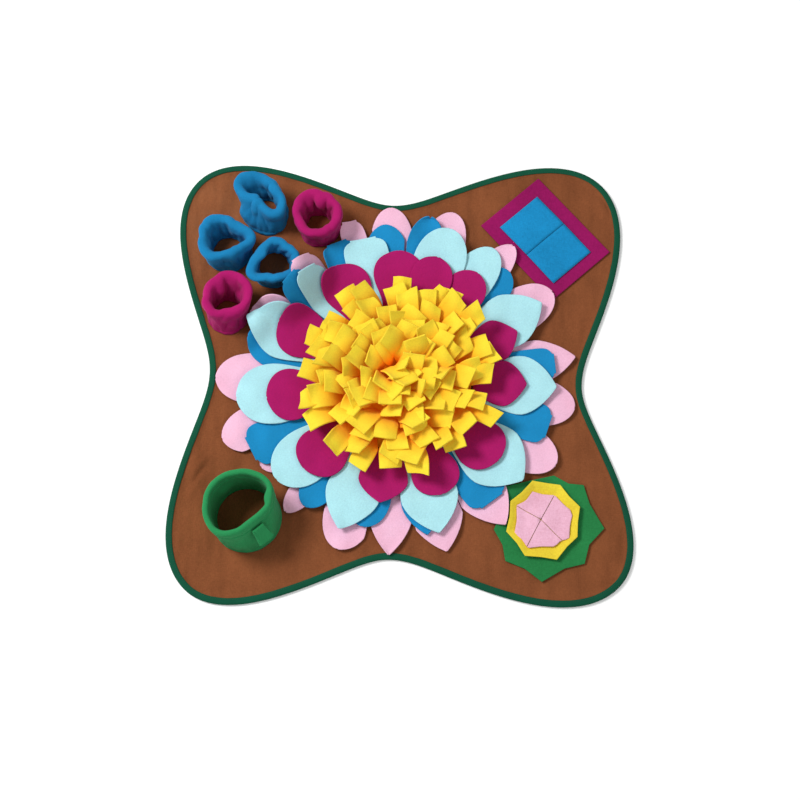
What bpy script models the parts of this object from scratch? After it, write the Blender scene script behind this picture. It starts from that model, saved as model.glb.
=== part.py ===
"""A snuffle mat: a four-lobed felt mat that carries a fleece flower, six fleece cups and two felt pockets.

The tables hold millimetres and degrees. The frame has +Z up and +Y away from the mat's front edge, and its origin
is on the floor under the middle of the mat.
"""

import math
import random
from collections import namedtuple

import bpy
import numpy as np
from mathutils import Vector
from mathutils.bvhtree import BVHTree
from mathutils.geometry import delaunay_2d_cdt

MM = 0.001
GAP = 0.3  # between pieces that lie on each other

# The mat, in mm.
FELT = 3.0  # thickness of the base
OUTLINE_STEPS = 76
LOBE_FULLNESS = 6.9
LOBE_POINT = 1.6
TAPE = 1.0  # thickness of the binding
TAPE_WIDTH = 8.5  # how far the binding reaches in over the felt
RIM_RAMP = 12.0  # the base rises over this width, from the floor onto the binding's lower leg
BASE_RINGS = (0.42, 0.62, 0.77, 0.88)  # shares of the reach

# The outline's waists and lobes in turn.
Side = namedtuple("Side", "angle reach")
SIDES = (
    Side(-3, 240),
    Side(45, 387),
    Side(91, 242),
    Side(134, 390),
    Side(179, 249),
    Side(226, 390),
    Side(267.5, 243),
    Side(315, 393),
)

# Soft ridges where the felt doesn't lie quite flat: middle, direction, length, width and height.
Crease = namedtuple("Crease", "x y angle length width height")
CREASES = (
    Crease(-264, -128, 118, 70, 26, 2.6),
    Crease(272, 244, -50, 60, 22, 2.4),
    Crease(-262, 256, 75, 60, 24, 2.0),
    Crease(-228, -270, 20, 70, 24, 1.6),
    Crease(262, -262, -35, 60, 28, 1.6),
)

# The cups: middle of the foot, the rim's shift, the foot's radius, height, half thickness of the wall and of
# the rolled rim, and the rim's reach in twelve directions, 30 degrees apart.
Cup = namedtuple("Cup", "name colour x y shift_x shift_y foot height wall roll reaches")
CUPS = (
    Cup("cup_blue_left", "blue", -229, 175, -3, 6, 26, 48, 2.6, 4.6, (38, 27, 23, 26, 31, 31, 29, 32, 31, 25, 24, 27)),
    Cup("cup_blue_top", "blue", -179, 228, -4, 16, 26, 48, 2.6, 4.6, (22, 20, 20, 24, 31, 38, 27, 17, 15, 18, 35, 32)),
    Cup("cup_blue_inner", "blue", -168, 153, 8, -7, 26, 47, 2.4, 4.2, (27, 26, 25, 27, 30, 28, 32, 36, 25, 22, 24, 26)),
    Cup("cup_magenta_right", "magenta", -108, 210, -2, 6, 24, 48, 2.6, 4.4, (30, 28, 27, 29, 32, 30, 27, 26, 30, 31, 28, 29)),
    Cup("cup_magenta_left", "magenta", -228, 86, 3, 15, 24, 48, 2.6, 4.4, (30, 29, 29, 29, 27, 26, 26, 30, 31, 25, 25, 28)),
    Cup("cup_green", "green", -195, -188, -7, 9, 41.5, 72, 2.4, 3.6, (41, 45, 41, 37, 36, 37, 38, 42, 45, 38, 31, 33)),
)
CUP_STEPS = 24
TAB_COLUMNS = (20.1, 20.9, 21.7)  # places on the green cup's wall, counted in CUP_STEPS
TAB_HEIGHTS = (47.0, 36.0, 25.0)
TAB_FELT = 4.0
TAB_SEAT = 0.6

# The flower: tiers from the mat upwards. level counts how many petals lie under a petal's root, lift is how far
# it has risen at LIFT_END from the middle of the flower.
FLOWER = Vector((-1.5, -2.4, 0.0))
PETAL_FELT = 1.6
ROOT_REACH = 98.0
BAND_REACH = 110.0
LIFT_END = 240.0
LIFTS = {"pink": 4.0, "blue": 8.0, "light_blue": 12.0, "magenta": 18.0}
PETAL_ROWS = (0.0, 0.36, 0.66, 0.88, 1.0)
CLIMBING_ROWS = (0.0, 0.18, 0.34, 0.46, 0.57, 0.68, 0.79, 0.9, 1.0)  # for petals that a cup pushes up
PETAL_COLUMNS = (-1.0, -0.35, 0.35, 1.0)
WIDEST = 0.58
ROOT_SHARE = 0.62

# Shape of a petal's end: power along it, power across it, and the share of the width left at the very tip.
Tip = namedtuple("Tip", "along across left")
TIPS = {
    "round": Tip(2.2, 0.5, 0.30),
    "point": Tip(1.7, 0.85, 0.05),
    "blunt": Tip(4.5, 0.5, 0.55),
}

# Petals: direction, reach and width; the tip's shape; how far the edges and the tip bend up or down; the level.
Petal = namedtuple("Petal", "angle reach width tip edge curl level")
MAGENTA = (
    Petal(21, 167, 57, "point", -1.5, 1.0, 3),
    Petal(53, 176, 56, "round", -1.0, -1.0, 4),
    Petal(72, 171, 56, "round", 1.5, 1.0, 5),
    Petal(90, 173, 66, "round", -1.5, 0.5, 4),
    Petal(119, 172, 66, "round", 0.8, 1.5, 3),
    Petal(155, 173, 68, "round", -1.5, 0.0, 3),
    Petal(190, 173, 70, "round", -1.5, 1.0, 3),
    Petal(226, 173, 68, "round", 1.0, -1.0, 3),
    Petal(262, 170, 64, "point", -1.0, 0.5, 3),
    Petal(290, 167, 62, "round", -1.5, -0.5, 3),
    Petal(319, 171, 68, "round", -1.0, 0.5, 3),
    Petal(356, 167, 62, "point", -1.5, 0.5, 3),
)
LIGHT_BLUE = (
    Petal(28, 214, 74, "point", -1.5, 0.5, 2),
    Petal(54, 219, 58, "round", -1.0, -1.0, 2),
    Petal(71, 216, 70, "round", 0.5, 1.0, 3),
    Petal(104, 197, 60, "blunt", 1.0, 0.5, 2),
    Petal(133, 182, 50, "blunt", 0.0, 0.0, 2),
    Petal(158.5, 213, 70, "point", 1.0, 0.5, 2),
    Petal(188, 212, 82, "round", -1.0, 0.5, 2),
    Petal(221.5, 208, 72, "round", -1.0, 0.5, 2),
    Petal(249.5, 215, 71, "point", -1.0, 0.5, 2),
    Petal(284, 213, 74, "point", 1.0, -1.0, 2),
    Petal(319, 211, 86, "point", -1.5, 0.5, 2),
    Petal(356, 206, 80, "point", -1.0, -0.5, 2),
)
# The blue and the pink petals are cut three to a strip.
BLUE = (
    Petal(5, 206, 46, "blunt", 0.5, 0.5, 1),
    Petal(-19, 206, 54, "blunt", -0.5, 0.0, 1),
    Petal(-54, 204, 58, "blunt", -0.5, 0.5, 1),
    Petal(-80, 212, 52, "point", 0.5, 0.0, 1),
    Petal(-103, 203, 56, "round", -0.5, 0.0, 1),
    Petal(-125, 209, 48, "round", 1.0, 0.5, 1),
    Petal(-153, 214, 58, "blunt", -0.5, 0.0, 1),
    Petal(-170, 211, 50, "round", -0.5, 0.0, 1),
    Petal(165, 204, 60, "round", -0.5, 0.0, 1),
    Petal(139, 190, 40, "blunt", 0.5, 0.0, 1),
    Petal(114, 204, 48, "blunt", 0.5, 0.0, 1),
    Petal(95, 214, 56, "round", -1.0, 0.5, 1),
    Petal(79, 226, 50, "round", 3.0, 2.0, 1),
    Petal(45, 208, 54, "round", 0.5, 0.5, 1),
    Petal(30, 206, 46, "round", 0.5, 0.5, 1),
)
PINK = (
    Petal(7, 234, 60, "point", -0.5, 0.5, 0),
    Petal(-10, 233, 64, "round", -0.5, 0.5, 0),
    Petal(-30, 234, 62, "round", 0.5, 1.0, 0),
    Petal(-55, 238, 66, "point", 0.5, 1.5, 0),
    Petal(-75, 237, 70, "point", -0.5, 0.5, 0),
    Petal(-93, 234, 56, "point", 1.5, 0.5, 0),
    Petal(-109, 239, 66, "round", -0.5, 0.5, 0),
    Petal(-129, 229, 36, "round", 1.0, 1.0, 0),
    Petal(-146, 213, 48, "round", 0.5, 0.0, 0),
    Petal(-160, 242, 64, "round", -0.5, 0.5, 0),
    Petal(180, 239, 70, "round", -0.5, 0.5, 0),
    Petal(155, 213, 62, "round", 1.0, 1.0, 0),
    Petal(130, 201, 40, "blunt", 0.0, 0.0, 0),
    Petal(107, 228, 34, "blunt", 1.5, 2.0, 0),
    Petal(92.5, 240, 58, "round", -0.5, 0.5, 0),
    Petal(72, 244, 58, "round", 0.5, 1.0, 0),
    Petal(50, 240, 44, "round", 1.5, 1.5, 0),
    Petal(30, 237, 62, "round", 1.0, 1.5, 0),
)
PETALS_A_STRIP = 3
STRIP_SETBACK = 0.5  # from the middle between two petals of one strip, in mm
STRIP_END = 0.3  # between two strips, in degrees

# Petals that meet a cup climb its wall: the cup, how high, how far from the foot the climb starts and is complete.
CLIMB_STEP = 4.0  # by how much each further petal starts to climb earlier
Climb = namedtuple("Climb", "cup height start full")
CLIMBS = (
    Climb("cup_blue_inner", 47, 55, 3),
    Climb("cup_magenta_left", 16, 40, 8),
    Climb("cup_magenta_right", 6, 30, 4),
)

# The pile: strips that stand on a round backing and fan outwards.
PILE_REACH = 91.0
BACKING_REACH = 96.0
BACKING_FELT = 2.0
STRIP_COUNT = 132
STRIP_WIDTH = 29.0
STRIP_ROOT_WIDTH = 9.5
STRIP_FLEECE = 2.2
STRIP_ROWS = (0.0, 0.36, 0.68, 1.0)
STRIP_BEND = 2.2  # above 1, a strip bends mostly towards its end
STRIP_CLEARANCE = 0.7
STRIP_TRIES = 60
GOLDEN_ANGLE = math.radians(137.508)
PILE_SEED = 7

# The square pocket.
SQUARE_MIDDLE = (196.5, 194.0)
SQUARE_ANGLE = -49.0
SQUARE_SIZE = (142.0, 105.0)
SQUARE_FELT = 1.5
FLAP_MIDDLE = (196.5, 192.5)
FLAP_SIZE = (53.0, 68.0)
FLAP_SLIT = 0.6
FLAP_RISE = 2.5

# The flower pocket: direction and reach of each point and each dip between two points.
POCKET_FELT = 1.5
Corner = namedtuple("Corner", "angle reach")
STAR_MIDDLE = (189.0, -202.0)
STAR_CORNERS = (
    Corner(0, 72),
    Corner(30, 63),
    Corner(50, 74),
    Corner(64, 65),
    Corner(82, 70),
    Corner(110, 66),
    Corner(136, 78),
    Corner(160, 62),
    Corner(181, 69),
    Corner(200, 62),
    Corner(217, 69),
    Corner(239, 60),
    Corner(262, 69),
    Corner(291, 55),
    Corner(315, 64),
    Corner(338, 56),
)
OCTAGON_MIDDLE = (182.0, -191.5)
OCTAGON_CORNERS = (
    Corner(19, 51),
    Corner(41, 46),
    Corner(62, 51),
    Corner(83, 48),
    Corner(103, 52),
    Corner(126, 44),
    Corner(149, 47),
    Corner(174, 42),
    Corner(198, 49),
    Corner(222, 45),
    Corner(243, 52),
    Corner(267, 48),
    Corner(288, 54),
    Corner(311, 46),
    Corner(333, 49),
    Corner(356, 45),
)
PINK_FLAP_MIDDLE = (180.0, -191.0)
PINK_FLAP_CORNERS = (
    Corner(13, 42),
    Corner(32, 35),
    Corner(59, 36),
    Corner(84, 32),
    Corner(105, 37),
    Corner(128, 30),
    Corner(149, 35),
    Corner(181, 30),
    Corner(208, 38),
    Corner(226, 35),
    Corner(244, 40),
    Corner(269, 34),
    Corner(296, 38),
    Corner(311, 36),
    Corner(324, 43),
    Corner(348, 37),
)
PINK_SLITS = (60, 150, 242, 314)
PINK_FLAP_RISE = 2.0

# Colours, straight from the cloth.
COLOURS = {
    "brown": (0.238, 0.077, 0.026),
    "dark_green": (0.008, 0.107, 0.054),
    "magenta": (0.360, 0.010, 0.122),
    "blue": (0.014, 0.262, 0.546),
    "light_blue": (0.428, 0.775, 0.871),
    "pink": (0.913, 0.491, 0.659),
    "yellow": (0.982, 0.694, 0.032),
    "green": (0.028, 0.314, 0.098),
    "leaf_green": (0.024, 0.205, 0.065),
    "gold": (0.914, 0.610, 0.047),
}
CLOTH_ROUGHNESS = 0.9


def polar(angle, reach):
    """A plan vector from a direction in degrees and a length."""
    return Vector((math.cos(math.radians(angle)), math.sin(math.radians(angle)), 0.0)) * reach


def smooth(t):
    """Rises from 0 to 1 with flat ends as t goes from 0 to 1."""
    t = min(1.0, max(0.0, t))
    return t * t * (3 - 2 * t)


def material(colour):
    found = bpy.data.materials.get(colour)
    if found:
        return found
    made = bpy.data.materials.new(colour)
    made.use_nodes = True
    shader = made.node_tree.nodes["Principled BSDF"]
    shader.inputs["Base Color"].default_value = (*COLOURS[colour], 1.0)
    shader.inputs["Roughness"].default_value = CLOTH_ROUGHNESS
    return made


def add_piece(name, colour, points, faces):
    """One sub-part: points in mm, faces as lists of indices that run anticlockwise seen from outside."""
    mesh = bpy.data.meshes.new(name)
    mesh.from_pydata([Vector(p) * MM for p in points], [], faces)
    mesh.materials.append(material(colour))
    mesh.validate()
    piece = bpy.data.objects.new(name, mesh)
    bpy.context.collection.objects.link(piece)
    return piece


# --- the mat ---------------------------------------------------------------------------------------------------


def outline_reach(angle):
    """The mat's reach in a direction, swinging between its waists and lobes."""
    for index, side in enumerate(SIDES):
        after = SIDES[(index + 1) % len(SIDES)]
        width = (after.angle - side.angle) % 360
        share = ((angle - side.angle) % 360) / width
        if share < 1:
            half = math.pi * share
            swing = (side.reach + after.reach) / 2 - (after.reach - side.reach) / 2 * math.cos(half)
            swing += LOBE_FULLNESS * (math.cos(2 * half) - 1)
            tip = math.cos(half) - math.cos(3 * half)
            return swing + math.copysign(LOBE_POINT, after.reach - side.reach) * tip
    raise ValueError(angle)


def mat_outline():
    """The outline's points, evenly spaced along it."""
    raw = np.array([polar(a, outline_reach(a))[:2] for a in np.arange(0, 360, 0.5)])
    closed = np.vstack([raw, raw[:1]])
    along = np.concatenate([[0], np.cumsum(np.linalg.norm(np.diff(closed, axis=0), axis=1))])
    at = np.linspace(0, along[-1], OUTLINE_STEPS, endpoint=False)
    outline = np.stack([np.interp(at, along, closed[:, k]) for k in (0, 1)], axis=1)
    return outline - (outline.min(0) + outline.max(0)) / 2


def inward_normals(points):
    along = np.roll(points, -1, axis=0) - np.roll(points, 1, axis=0)
    along /= np.linalg.norm(along, axis=1)[:, None]
    return np.stack([-along[:, 1], along[:, 0]], axis=1)


def crease_height(x, y):
    """How far the felt stands off the floor at a point, from the soft ridges."""
    height = 0.0
    for crease in CREASES:
        offset = Vector((x - crease.x, y - crease.y, 0.0))
        along = offset.dot(polar(crease.angle, 1.0)) / (crease.length / 2)
        across = offset.dot(polar(crease.angle + 90, 1.0)) / (crease.width / 2)
        height += crease.height * smooth(1 - abs(along)) * smooth(1 - abs(across))
    return height


def swept_ring(sections):
    """Points and faces of a closed tube: sections is a list of equally long, closed lists of points."""
    size = len(sections[0])
    count = len(sections)
    points = [p for section in sections for p in section]
    faces = []
    for i in range(count):
        j = (i + 1) % count
        for k in range(size):
            m = (k + 1) % size
            faces.append([i * size + k, i * size + m, j * size + m, j * size + k])
    return points, faces


def add_base(outline, inward):
    """The felt sheet: flat on the floor, up onto the binding at its edge, with its soft ridges."""
    edge = outline + inward * (TAPE + GAP)
    rings = [edge * share for share in BASE_RINGS]
    rings += [outline + inward * RIM_RAMP, outline + inward * (TAPE_WIDTH + GAP), edge]
    steps = len(edge)
    lower = [(0.0, 0.0, 0.0)]
    for index, ring in enumerate(rings):
        on_tape = index >= len(rings) - 2
        lower += [(x, y, TAPE + GAP if on_tape else crease_height(x, y)) for x, y in ring]
    count = len(lower)
    upper = [(x, y, z + FELT) for x, y, z in lower]
    faces = []
    for i in range(steps):
        j = (i + 1) % steps
        faces.append([count, count + 1 + i, count + 1 + j])
        faces.append([0, 1 + j, 1 + i])
        for r in range(len(rings) - 1):
            a, b = 1 + r * steps, 1 + (r + 1) * steps
            faces.append([count + a + i, count + b + i, count + b + j, count + a + j])
            faces.append([a + j, b + j, b + i, a + i])
        last = 1 + (len(rings) - 1) * steps
        faces.append([last + i, last + j, count + last + j, count + last + i])
    add_piece("base_felt", "brown", lower + upper, faces)


def add_binding(outline, inward):
    """The tape folded over the edge, a C in section whose lower leg lies on the floor."""
    height = 2 * TAPE + 2 * GAP + FELT
    round_off = TAPE * 0.8
    profile = (
        (TAPE_WIDTH, 0.0),
        (TAPE_WIDTH, TAPE),
        (TAPE, TAPE),
        (TAPE, height - TAPE),
        (TAPE_WIDTH, height - TAPE),
        (TAPE_WIDTH, height),
        (round_off, height),
        (0.0, height / 2),
        (round_off, 0.0),
    )
    sections = []
    for point, towards in zip(outline, inward):
        sections.append([(*(point + towards * depth), z) for depth, z in profile])
    points, faces = swept_ring(sections)
    add_piece("binding", "dark_green", points, faces)


# --- the cups --------------------------------------------------------------------------------------------------


def rim_reach(cup, angle):
    """The rim's reach in a direction: a smooth periodic curve through the table's values."""
    spread = 360 / len(cup.reaches)
    place = (angle % 360) / spread
    index = int(place)
    t = place - index
    a, b, c, d = (cup.reaches[(index + k) % len(cup.reaches)] for k in (-1, 0, 1, 2))
    return b + t * (c - a) / 2 + t * t * (a - 2.5 * b + 2 * c - d / 2) + t**3 * (1.5 * (b - c) + (d - a) / 2)


def cup_wall(cup, height, offset):
    """The wall's closed curve at a height, moved out by offset from the middle of its thickness."""
    share = (height / cup.height) ** 1.3
    middle = np.array([cup.x + cup.shift_x * share, cup.y + cup.shift_y * share])
    angles = [360 * i / CUP_STEPS for i in range(CUP_STEPS)]
    reaches = [cup.foot + (rim_reach(cup, a) - cup.foot) * share for a in angles]
    curve = np.array([middle + np.array(polar(a, r)[:2]) for a, r in zip(angles, reaches)])
    return curve - inward_normals(curve) * offset


def add_cup(cup):
    """A doubled fleece tube, sewn to the mat at its foot and rolled over at its rim."""
    foot_z = FELT + GAP
    levels = (
        (foot_z, cup.wall),
        (cup.height * 0.5, cup.wall * 1.15),
        (cup.height - cup.roll, cup.roll),
        (cup.height, cup.roll * 0.5),
        (cup.height, -cup.roll * 0.5),
        (cup.height - cup.roll, -cup.roll),
        (cup.height * 0.5, -cup.wall * 1.15),
        (foot_z, -cup.wall),
    )
    curves = [cup_wall(cup, z, offset) for z, offset in levels]
    sections = []
    for i in range(CUP_STEPS):
        sections.append([(*curve[i], z) for curve, (z, _) in zip(curves, levels)])
    points, faces = swept_ring(sections)
    add_piece(cup.name, cup.colour, points, [face[::-1] for face in faces])


def outer_wall(cup, height, out):
    """The closed curve at a height that stands off the cup's outer side by out."""
    foot_z, half, rim_z = FELT + GAP, cup.height * 0.5, cup.height - cup.roll
    middle = cup_wall(cup, half, cup.wall * 1.15 + out)
    if height >= half:
        return middle + (cup_wall(cup, rim_z, cup.roll + out) - middle) * (height - half) / (rim_z - half)
    return middle + (cup_wall(cup, foot_z, cup.wall + out) - middle) * (half - height) / (half - foot_z)


def add_tab(cup):
    """The small doubled tab sewn on the green cup's wall."""
    grids = []
    for out in (TAB_SEAT + TAB_FELT, TAB_SEAT):
        grid = []
        for height in TAB_HEIGHTS:
            curve = outer_wall(cup, height, out)
            row = []
            for place in TAB_COLUMNS:
                first = int(place)
                x, y = curve[first] + (curve[(first + 1) % CUP_STEPS] - curve[first]) * (place - first)
                row.append((x, y, height))
            grid.append(row)
        grids.append(np.array(grid))
    add_patches("green_cup_tab", "green", [grids])


# --- sheets ----------------------------------------------------------------------------------------------------


def grid_triangles(ids):
    """Triangles of a grid of point numbers, mirrored about its middle: rows run outwards, columns anticlockwise."""
    rows, columns = ids.shape
    triangles = []
    for i in range(rows - 1):
        for j in range(columns - 1):
            a, b, c, d = (int(k) for k in (ids[i, j], ids[i + 1, j], ids[i + 1, j + 1], ids[i, j + 1]))
            if 2 * j < columns - 1:
                triangles += [[a, b, c], [a, c, d]]
            else:
                triangles += [[a, b, d], [b, c, d]]
    return triangles


def thickened(grid, thickness):
    """Upper and lower points of a sheet, half its thickness to each side of a grid of points, shape (n, m, 3)."""
    along = np.gradient(grid, axis=0)
    across = np.gradient(grid, axis=1)
    normal = np.cross(across, along)
    normal /= np.linalg.norm(normal, axis=2)[:, :, None]
    normal *= np.sign(normal[:, :, 2:3])
    upper = grid + normal * thickness / 2
    lower = grid - normal * thickness / 2
    return upper, lower


def add_sheet(name, colour, grid, thickness):
    """A closed sheet of cloth on one grid of points."""
    add_patches(name, colour, [thickened(grid, thickness)])


def add_patches(name, colour, patches):
    """A closed sheet from patches of cloth that share points where they meet, with walls round its border."""
    numbers = {}
    upper_points, lower_points, faces = [], [], []
    for upper, lower in patches:
        ids = np.zeros(upper.shape[:2], dtype=int)
        for place in np.ndindex(*ids.shape):
            key = tuple(np.round(upper[place], 1))
            if key not in numbers:
                numbers[key] = len(upper_points)
                upper_points.append(tuple(upper[place]))
                lower_points.append(tuple(lower[place]))
            ids[place] = numbers[key]
        faces += grid_triangles(ids)
    count = len(upper_points)
    solid = faces + [[count + k for k in reversed(face)] for face in faces]
    edges = {edge for face in faces for edge in zip(face, face[1:] + face[:1])}
    solid += [[b, a, count + a, count + b] for a, b in sorted(edges) if (b, a) not in edges]
    add_piece(name, colour, upper_points + lower_points, solid)


def add_flat(name, colour, corners, bottom, thickness):
    """A flat sheet cut to a polygon, whose corners run anticlockwise."""
    count = len(corners)
    points = [(x, y, bottom) for x, y in corners] + [(x, y, bottom + thickness) for x, y in corners]
    faces = [list(range(count))[::-1], list(range(count, 2 * count))]
    for i in range(count):
        j = (i + 1) % count
        faces.append([i, j, count + j, count + i])
    add_piece(name, colour, points, faces)


# --- the petals ------------------------------------------------------------------------------------------------


def climb_height(level, x, y):
    """How far petals are pushed up at a point by the cups they meet."""
    height = 0.0
    for climb in CLIMBS:
        cup = next(c for c in CUPS if c.name == climb.cup)
        away = math.hypot(x - cup.x, y - cup.y) - cup.foot - level * CLIMB_STEP
        height = max(height, climb.height * smooth((climb.start - away) / (climb.start - climb.full)))
    return height


def petal_height(lift, level, x, y):
    """The middle of a petal's thickness at a point, as it rises outwards from its seat on the petals below."""
    slope = lift / (LIFT_END - ROOT_REACH)
    root = FELT + GAP + PETAL_FELT / 2 + level * (PETAL_FELT + GAP)
    reach = math.hypot(x - FLOWER.x, y - FLOWER.y)
    return root + slope * (reach - ROOT_REACH) + climb_height(level, x, y)


def petal_width(petal, share):
    """Half the petal's width at a share of its length."""
    if share < WIDEST:
        return petal.width / 2 * (ROOT_SHARE + (1 - ROOT_SHARE) * smooth(share / WIDEST))
    tip = TIPS[petal.tip]
    far = (share - WIDEST) / (1 - WIDEST)
    return petal.width / 2 * max(tip.left, (1 - far**tip.along) ** tip.across)


def petal_grid(petal, lift, root_reach, sides=None):
    """The petal's points. sides gives the directions of its limits in a strip, to the right and to the left."""
    forward = polar(petal.angle, 1.0)
    left = polar(petal.angle + 90, 1.0)
    tip = FLOWER + forward * petal.reach
    rows = CLIMBING_ROWS if climb_height(petal.level, tip.x, tip.y) > FELT else PETAL_ROWS
    grid = []
    for share in rows:
        reach = root_reach + (petal.reach - root_reach) * share
        widths = [petal_width(petal, share)] * 2
        if sides:
            limits = [math.radians(abs(side - petal.angle)) for side in sides]
            widths = [min(w, reach * math.tan(m) - STRIP_SETBACK) for w, m in zip(widths, limits)]
        row = []
        for column in PETAL_COLUMNS:
            if sides and share == 0.0:
                turn = petal.angle + (column < 0) * (sides[0] - petal.angle) * -column
                turn += (column > 0) * (sides[1] - petal.angle) * column
                place = FLOWER + polar(turn, reach)
            else:
                place = FLOWER + forward * reach + left * (column * widths[column > 0])
            bend = smooth((reach - BAND_REACH) / (LIFT_END - BAND_REACH))
            z = petal_height(lift, petal.level, place.x, place.y)
            z += bend * (petal.edge * column * column + petal.curl * share**3)
            row.append((place.x, place.y, z))
        grid.append(row)
    return np.array(grid)


def add_single_petals(colour, petals):
    """The upper tiers' petals, cut one by one."""
    for number, petal in enumerate(petals, 1):
        grid = petal_grid(petal, LIFTS[colour], ROOT_REACH)
        add_sheet(f"petal_{colour}_{number:02d}", colour, grid, PETAL_FELT)


def tier_limits(petals):
    """For each petal, the directions half way to its neighbours, right and left."""
    order = sorted(range(len(petals)), key=lambda k: petals[k].angle % 360)
    limits = {}
    for place, k in enumerate(order):
        here = petals[k].angle
        right = (here - petals[order[place - 1]].angle) % 360
        left = (petals[order[(place + 1) % len(order)]].angle - here) % 360
        limits[k] = (here - right / 2, here + left / 2)
    return [limits[k] for k in range(len(petals))]


def strip_petal_grid(petal, lift, limits):
    """A petal of a strip, with its share of the band as its first row."""
    grid = petal_grid(petal, lift, BAND_REACH, limits)
    inner = []
    for x, y, _ in grid[0]:
        place = FLOWER + (Vector((x, y, 0.0)) - FLOWER).normalized() * ROOT_REACH
        inner.append((place.x, place.y, petal_height(lift, petal.level, place.x, place.y)))
    return np.concatenate([[inner], grid])


def add_petal_strips(colour, petals):
    """The lower tiers: strips of three petals on a narrow band that is sewn down round the pile."""
    limits = tier_limits(petals)
    for start in range(0, len(petals), PETALS_A_STRIP):
        patches = []
        for k in range(start, start + PETALS_A_STRIP):
            right, left = limits[k]
            if k == start + PETALS_A_STRIP - 1:
                right += STRIP_END
            if k == start:
                left -= STRIP_END
            grid = strip_petal_grid(petals[k], LIFTS[colour], (right, left))
            upper, lower = thickened(grid, PETAL_FELT)
            upright = np.array((0.0, 0.0, PETAL_FELT / 2))
            upper[:2], lower[:2] = grid[:2] + upright, grid[:2] - upright
            patches.append((upper, lower))
        add_patches(f"petal_strip_{colour}_{start // PETALS_A_STRIP + 1}", colour, patches)


# --- the pile --------------------------------------------------------------------------------------------------

Strip = namedtuple("Strip", "x y azimuth start_tilt end_tilt length width turn")


def strip_rings(strip, thickness):
    """Rings of four points along a strip, from its pinched root to its square-cut end."""
    lean = polar(strip.azimuth, 1.0)
    side = polar(strip.azimuth + 90 + strip.turn, 1.0)
    place = Vector((strip.x, strip.y, FELT + GAP + BACKING_FELT))
    rings = []
    before = 0.0
    for share in STRIP_ROWS:
        tilt = math.radians(strip.start_tilt + (strip.end_tilt - strip.start_tilt) * share**STRIP_BEND)
        middle = (share + before) / 2
        step_tilt = math.radians(strip.start_tilt + (strip.end_tilt - strip.start_tilt) * middle**STRIP_BEND)
        step = lean * math.sin(step_tilt) + Vector((0, 0, math.cos(step_tilt)))
        place = place + step * strip.length * (share - before)
        before = share
        along = lean * math.sin(tilt) + Vector((0, 0, math.cos(tilt)))
        flat = (side - along * side.dot(along)).normalized()
        if share == 0.0:
            flat = polar(strip.azimuth + 90, 1.0)
            face = polar(strip.azimuth, 1.0)
        else:
            face = flat.cross(along).normalized()
        half = STRIP_ROOT_WIDTH / 2
        half += (strip.width - STRIP_ROOT_WIDTH) / 2 * smooth(share / 0.5)
        a, b = face * thickness / 2, flat * half
        rings.append([place - a - b, place + a - b, place + a + b, place - a + b])
    return rings


def strip_tree(rings):
    points = [p for ring in rings for p in ring]
    faces = [[0, 1, 2, 3]]
    for i in range(len(rings) - 1):
        for k in range(4):
            m = (k + 1) % 4
            faces.append([4 * i + k, 4 * i + m, 4 * i + 4 + m, 4 * i + 4 + k])
    last = 4 * (len(rings) - 1)
    faces.append([last + 3, last + 2, last + 1, last])
    return BVHTree.FromPolygons(points, faces)


def petal_guard():
    """A surface over the petals' roots that no strip may cross."""
    top = max(petal.level for petal in MAGENTA)
    profile = [(BACKING_REACH, FELT + BACKING_FELT)]
    for reach in (BACKING_REACH, 170.0):
        place = FLOWER + polar(0, reach)
        profile.append((reach, petal_height(LIFTS["magenta"], top, place.x, place.y) + PETAL_FELT))
    points = [FLOWER + polar(360 * k / 64, reach) + Vector((0, 0, z)) for k in range(64) for reach, z in profile]
    faces = []
    for k in range(64):
        a, b = 3 * k, 3 * ((k + 1) % 64)
        faces += [[a, b, b + 1, a + 1], [a + 1, b + 1, b + 2, a + 2]]
    return BVHTree.FromPolygons(points, faces)


def plan_strips():
    """Places the strips one by one, each leaning its own way without meeting those before it."""
    draw = random.Random(PILE_SEED)
    planned = []
    trees = [petal_guard()]
    for number in range(STRIP_COUNT):
        share = math.sqrt((number + 0.5) / STRIP_COUNT)
        spot = FLOWER + polar(math.degrees(number * GOLDEN_ANGLE), PILE_REACH * share)
        outward = math.degrees(number * GOLDEN_ANGLE)
        for attempt in range(STRIP_TRIES):
            ease = attempt / STRIP_TRIES
            freedom = (1 - ease) * (180 - 120 * share) + ease * 15
            strip = Strip(
                spot.x,
                spot.y,
                outward + draw.uniform(-freedom, freedom),
                share * share * 38 + draw.uniform(-4, 8),
                (84 + 22 * share + draw.uniform(-24, 16)) * (1 - 0.3 * ease),
                57 + 11 * share + draw.uniform(-8, 6),
                STRIP_WIDTH * draw.uniform(0.86, 1.04) * (1 - 0.3 * ease),
                draw.uniform(-28, 28) * (1 - ease),
            )
            tree = strip_tree(strip_rings(strip, STRIP_FLEECE + STRIP_CLEARANCE))
            if not any(tree.overlap(other) for other in trees):
                planned.append(strip)
                trees.append(tree)
                break
    return planned


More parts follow.
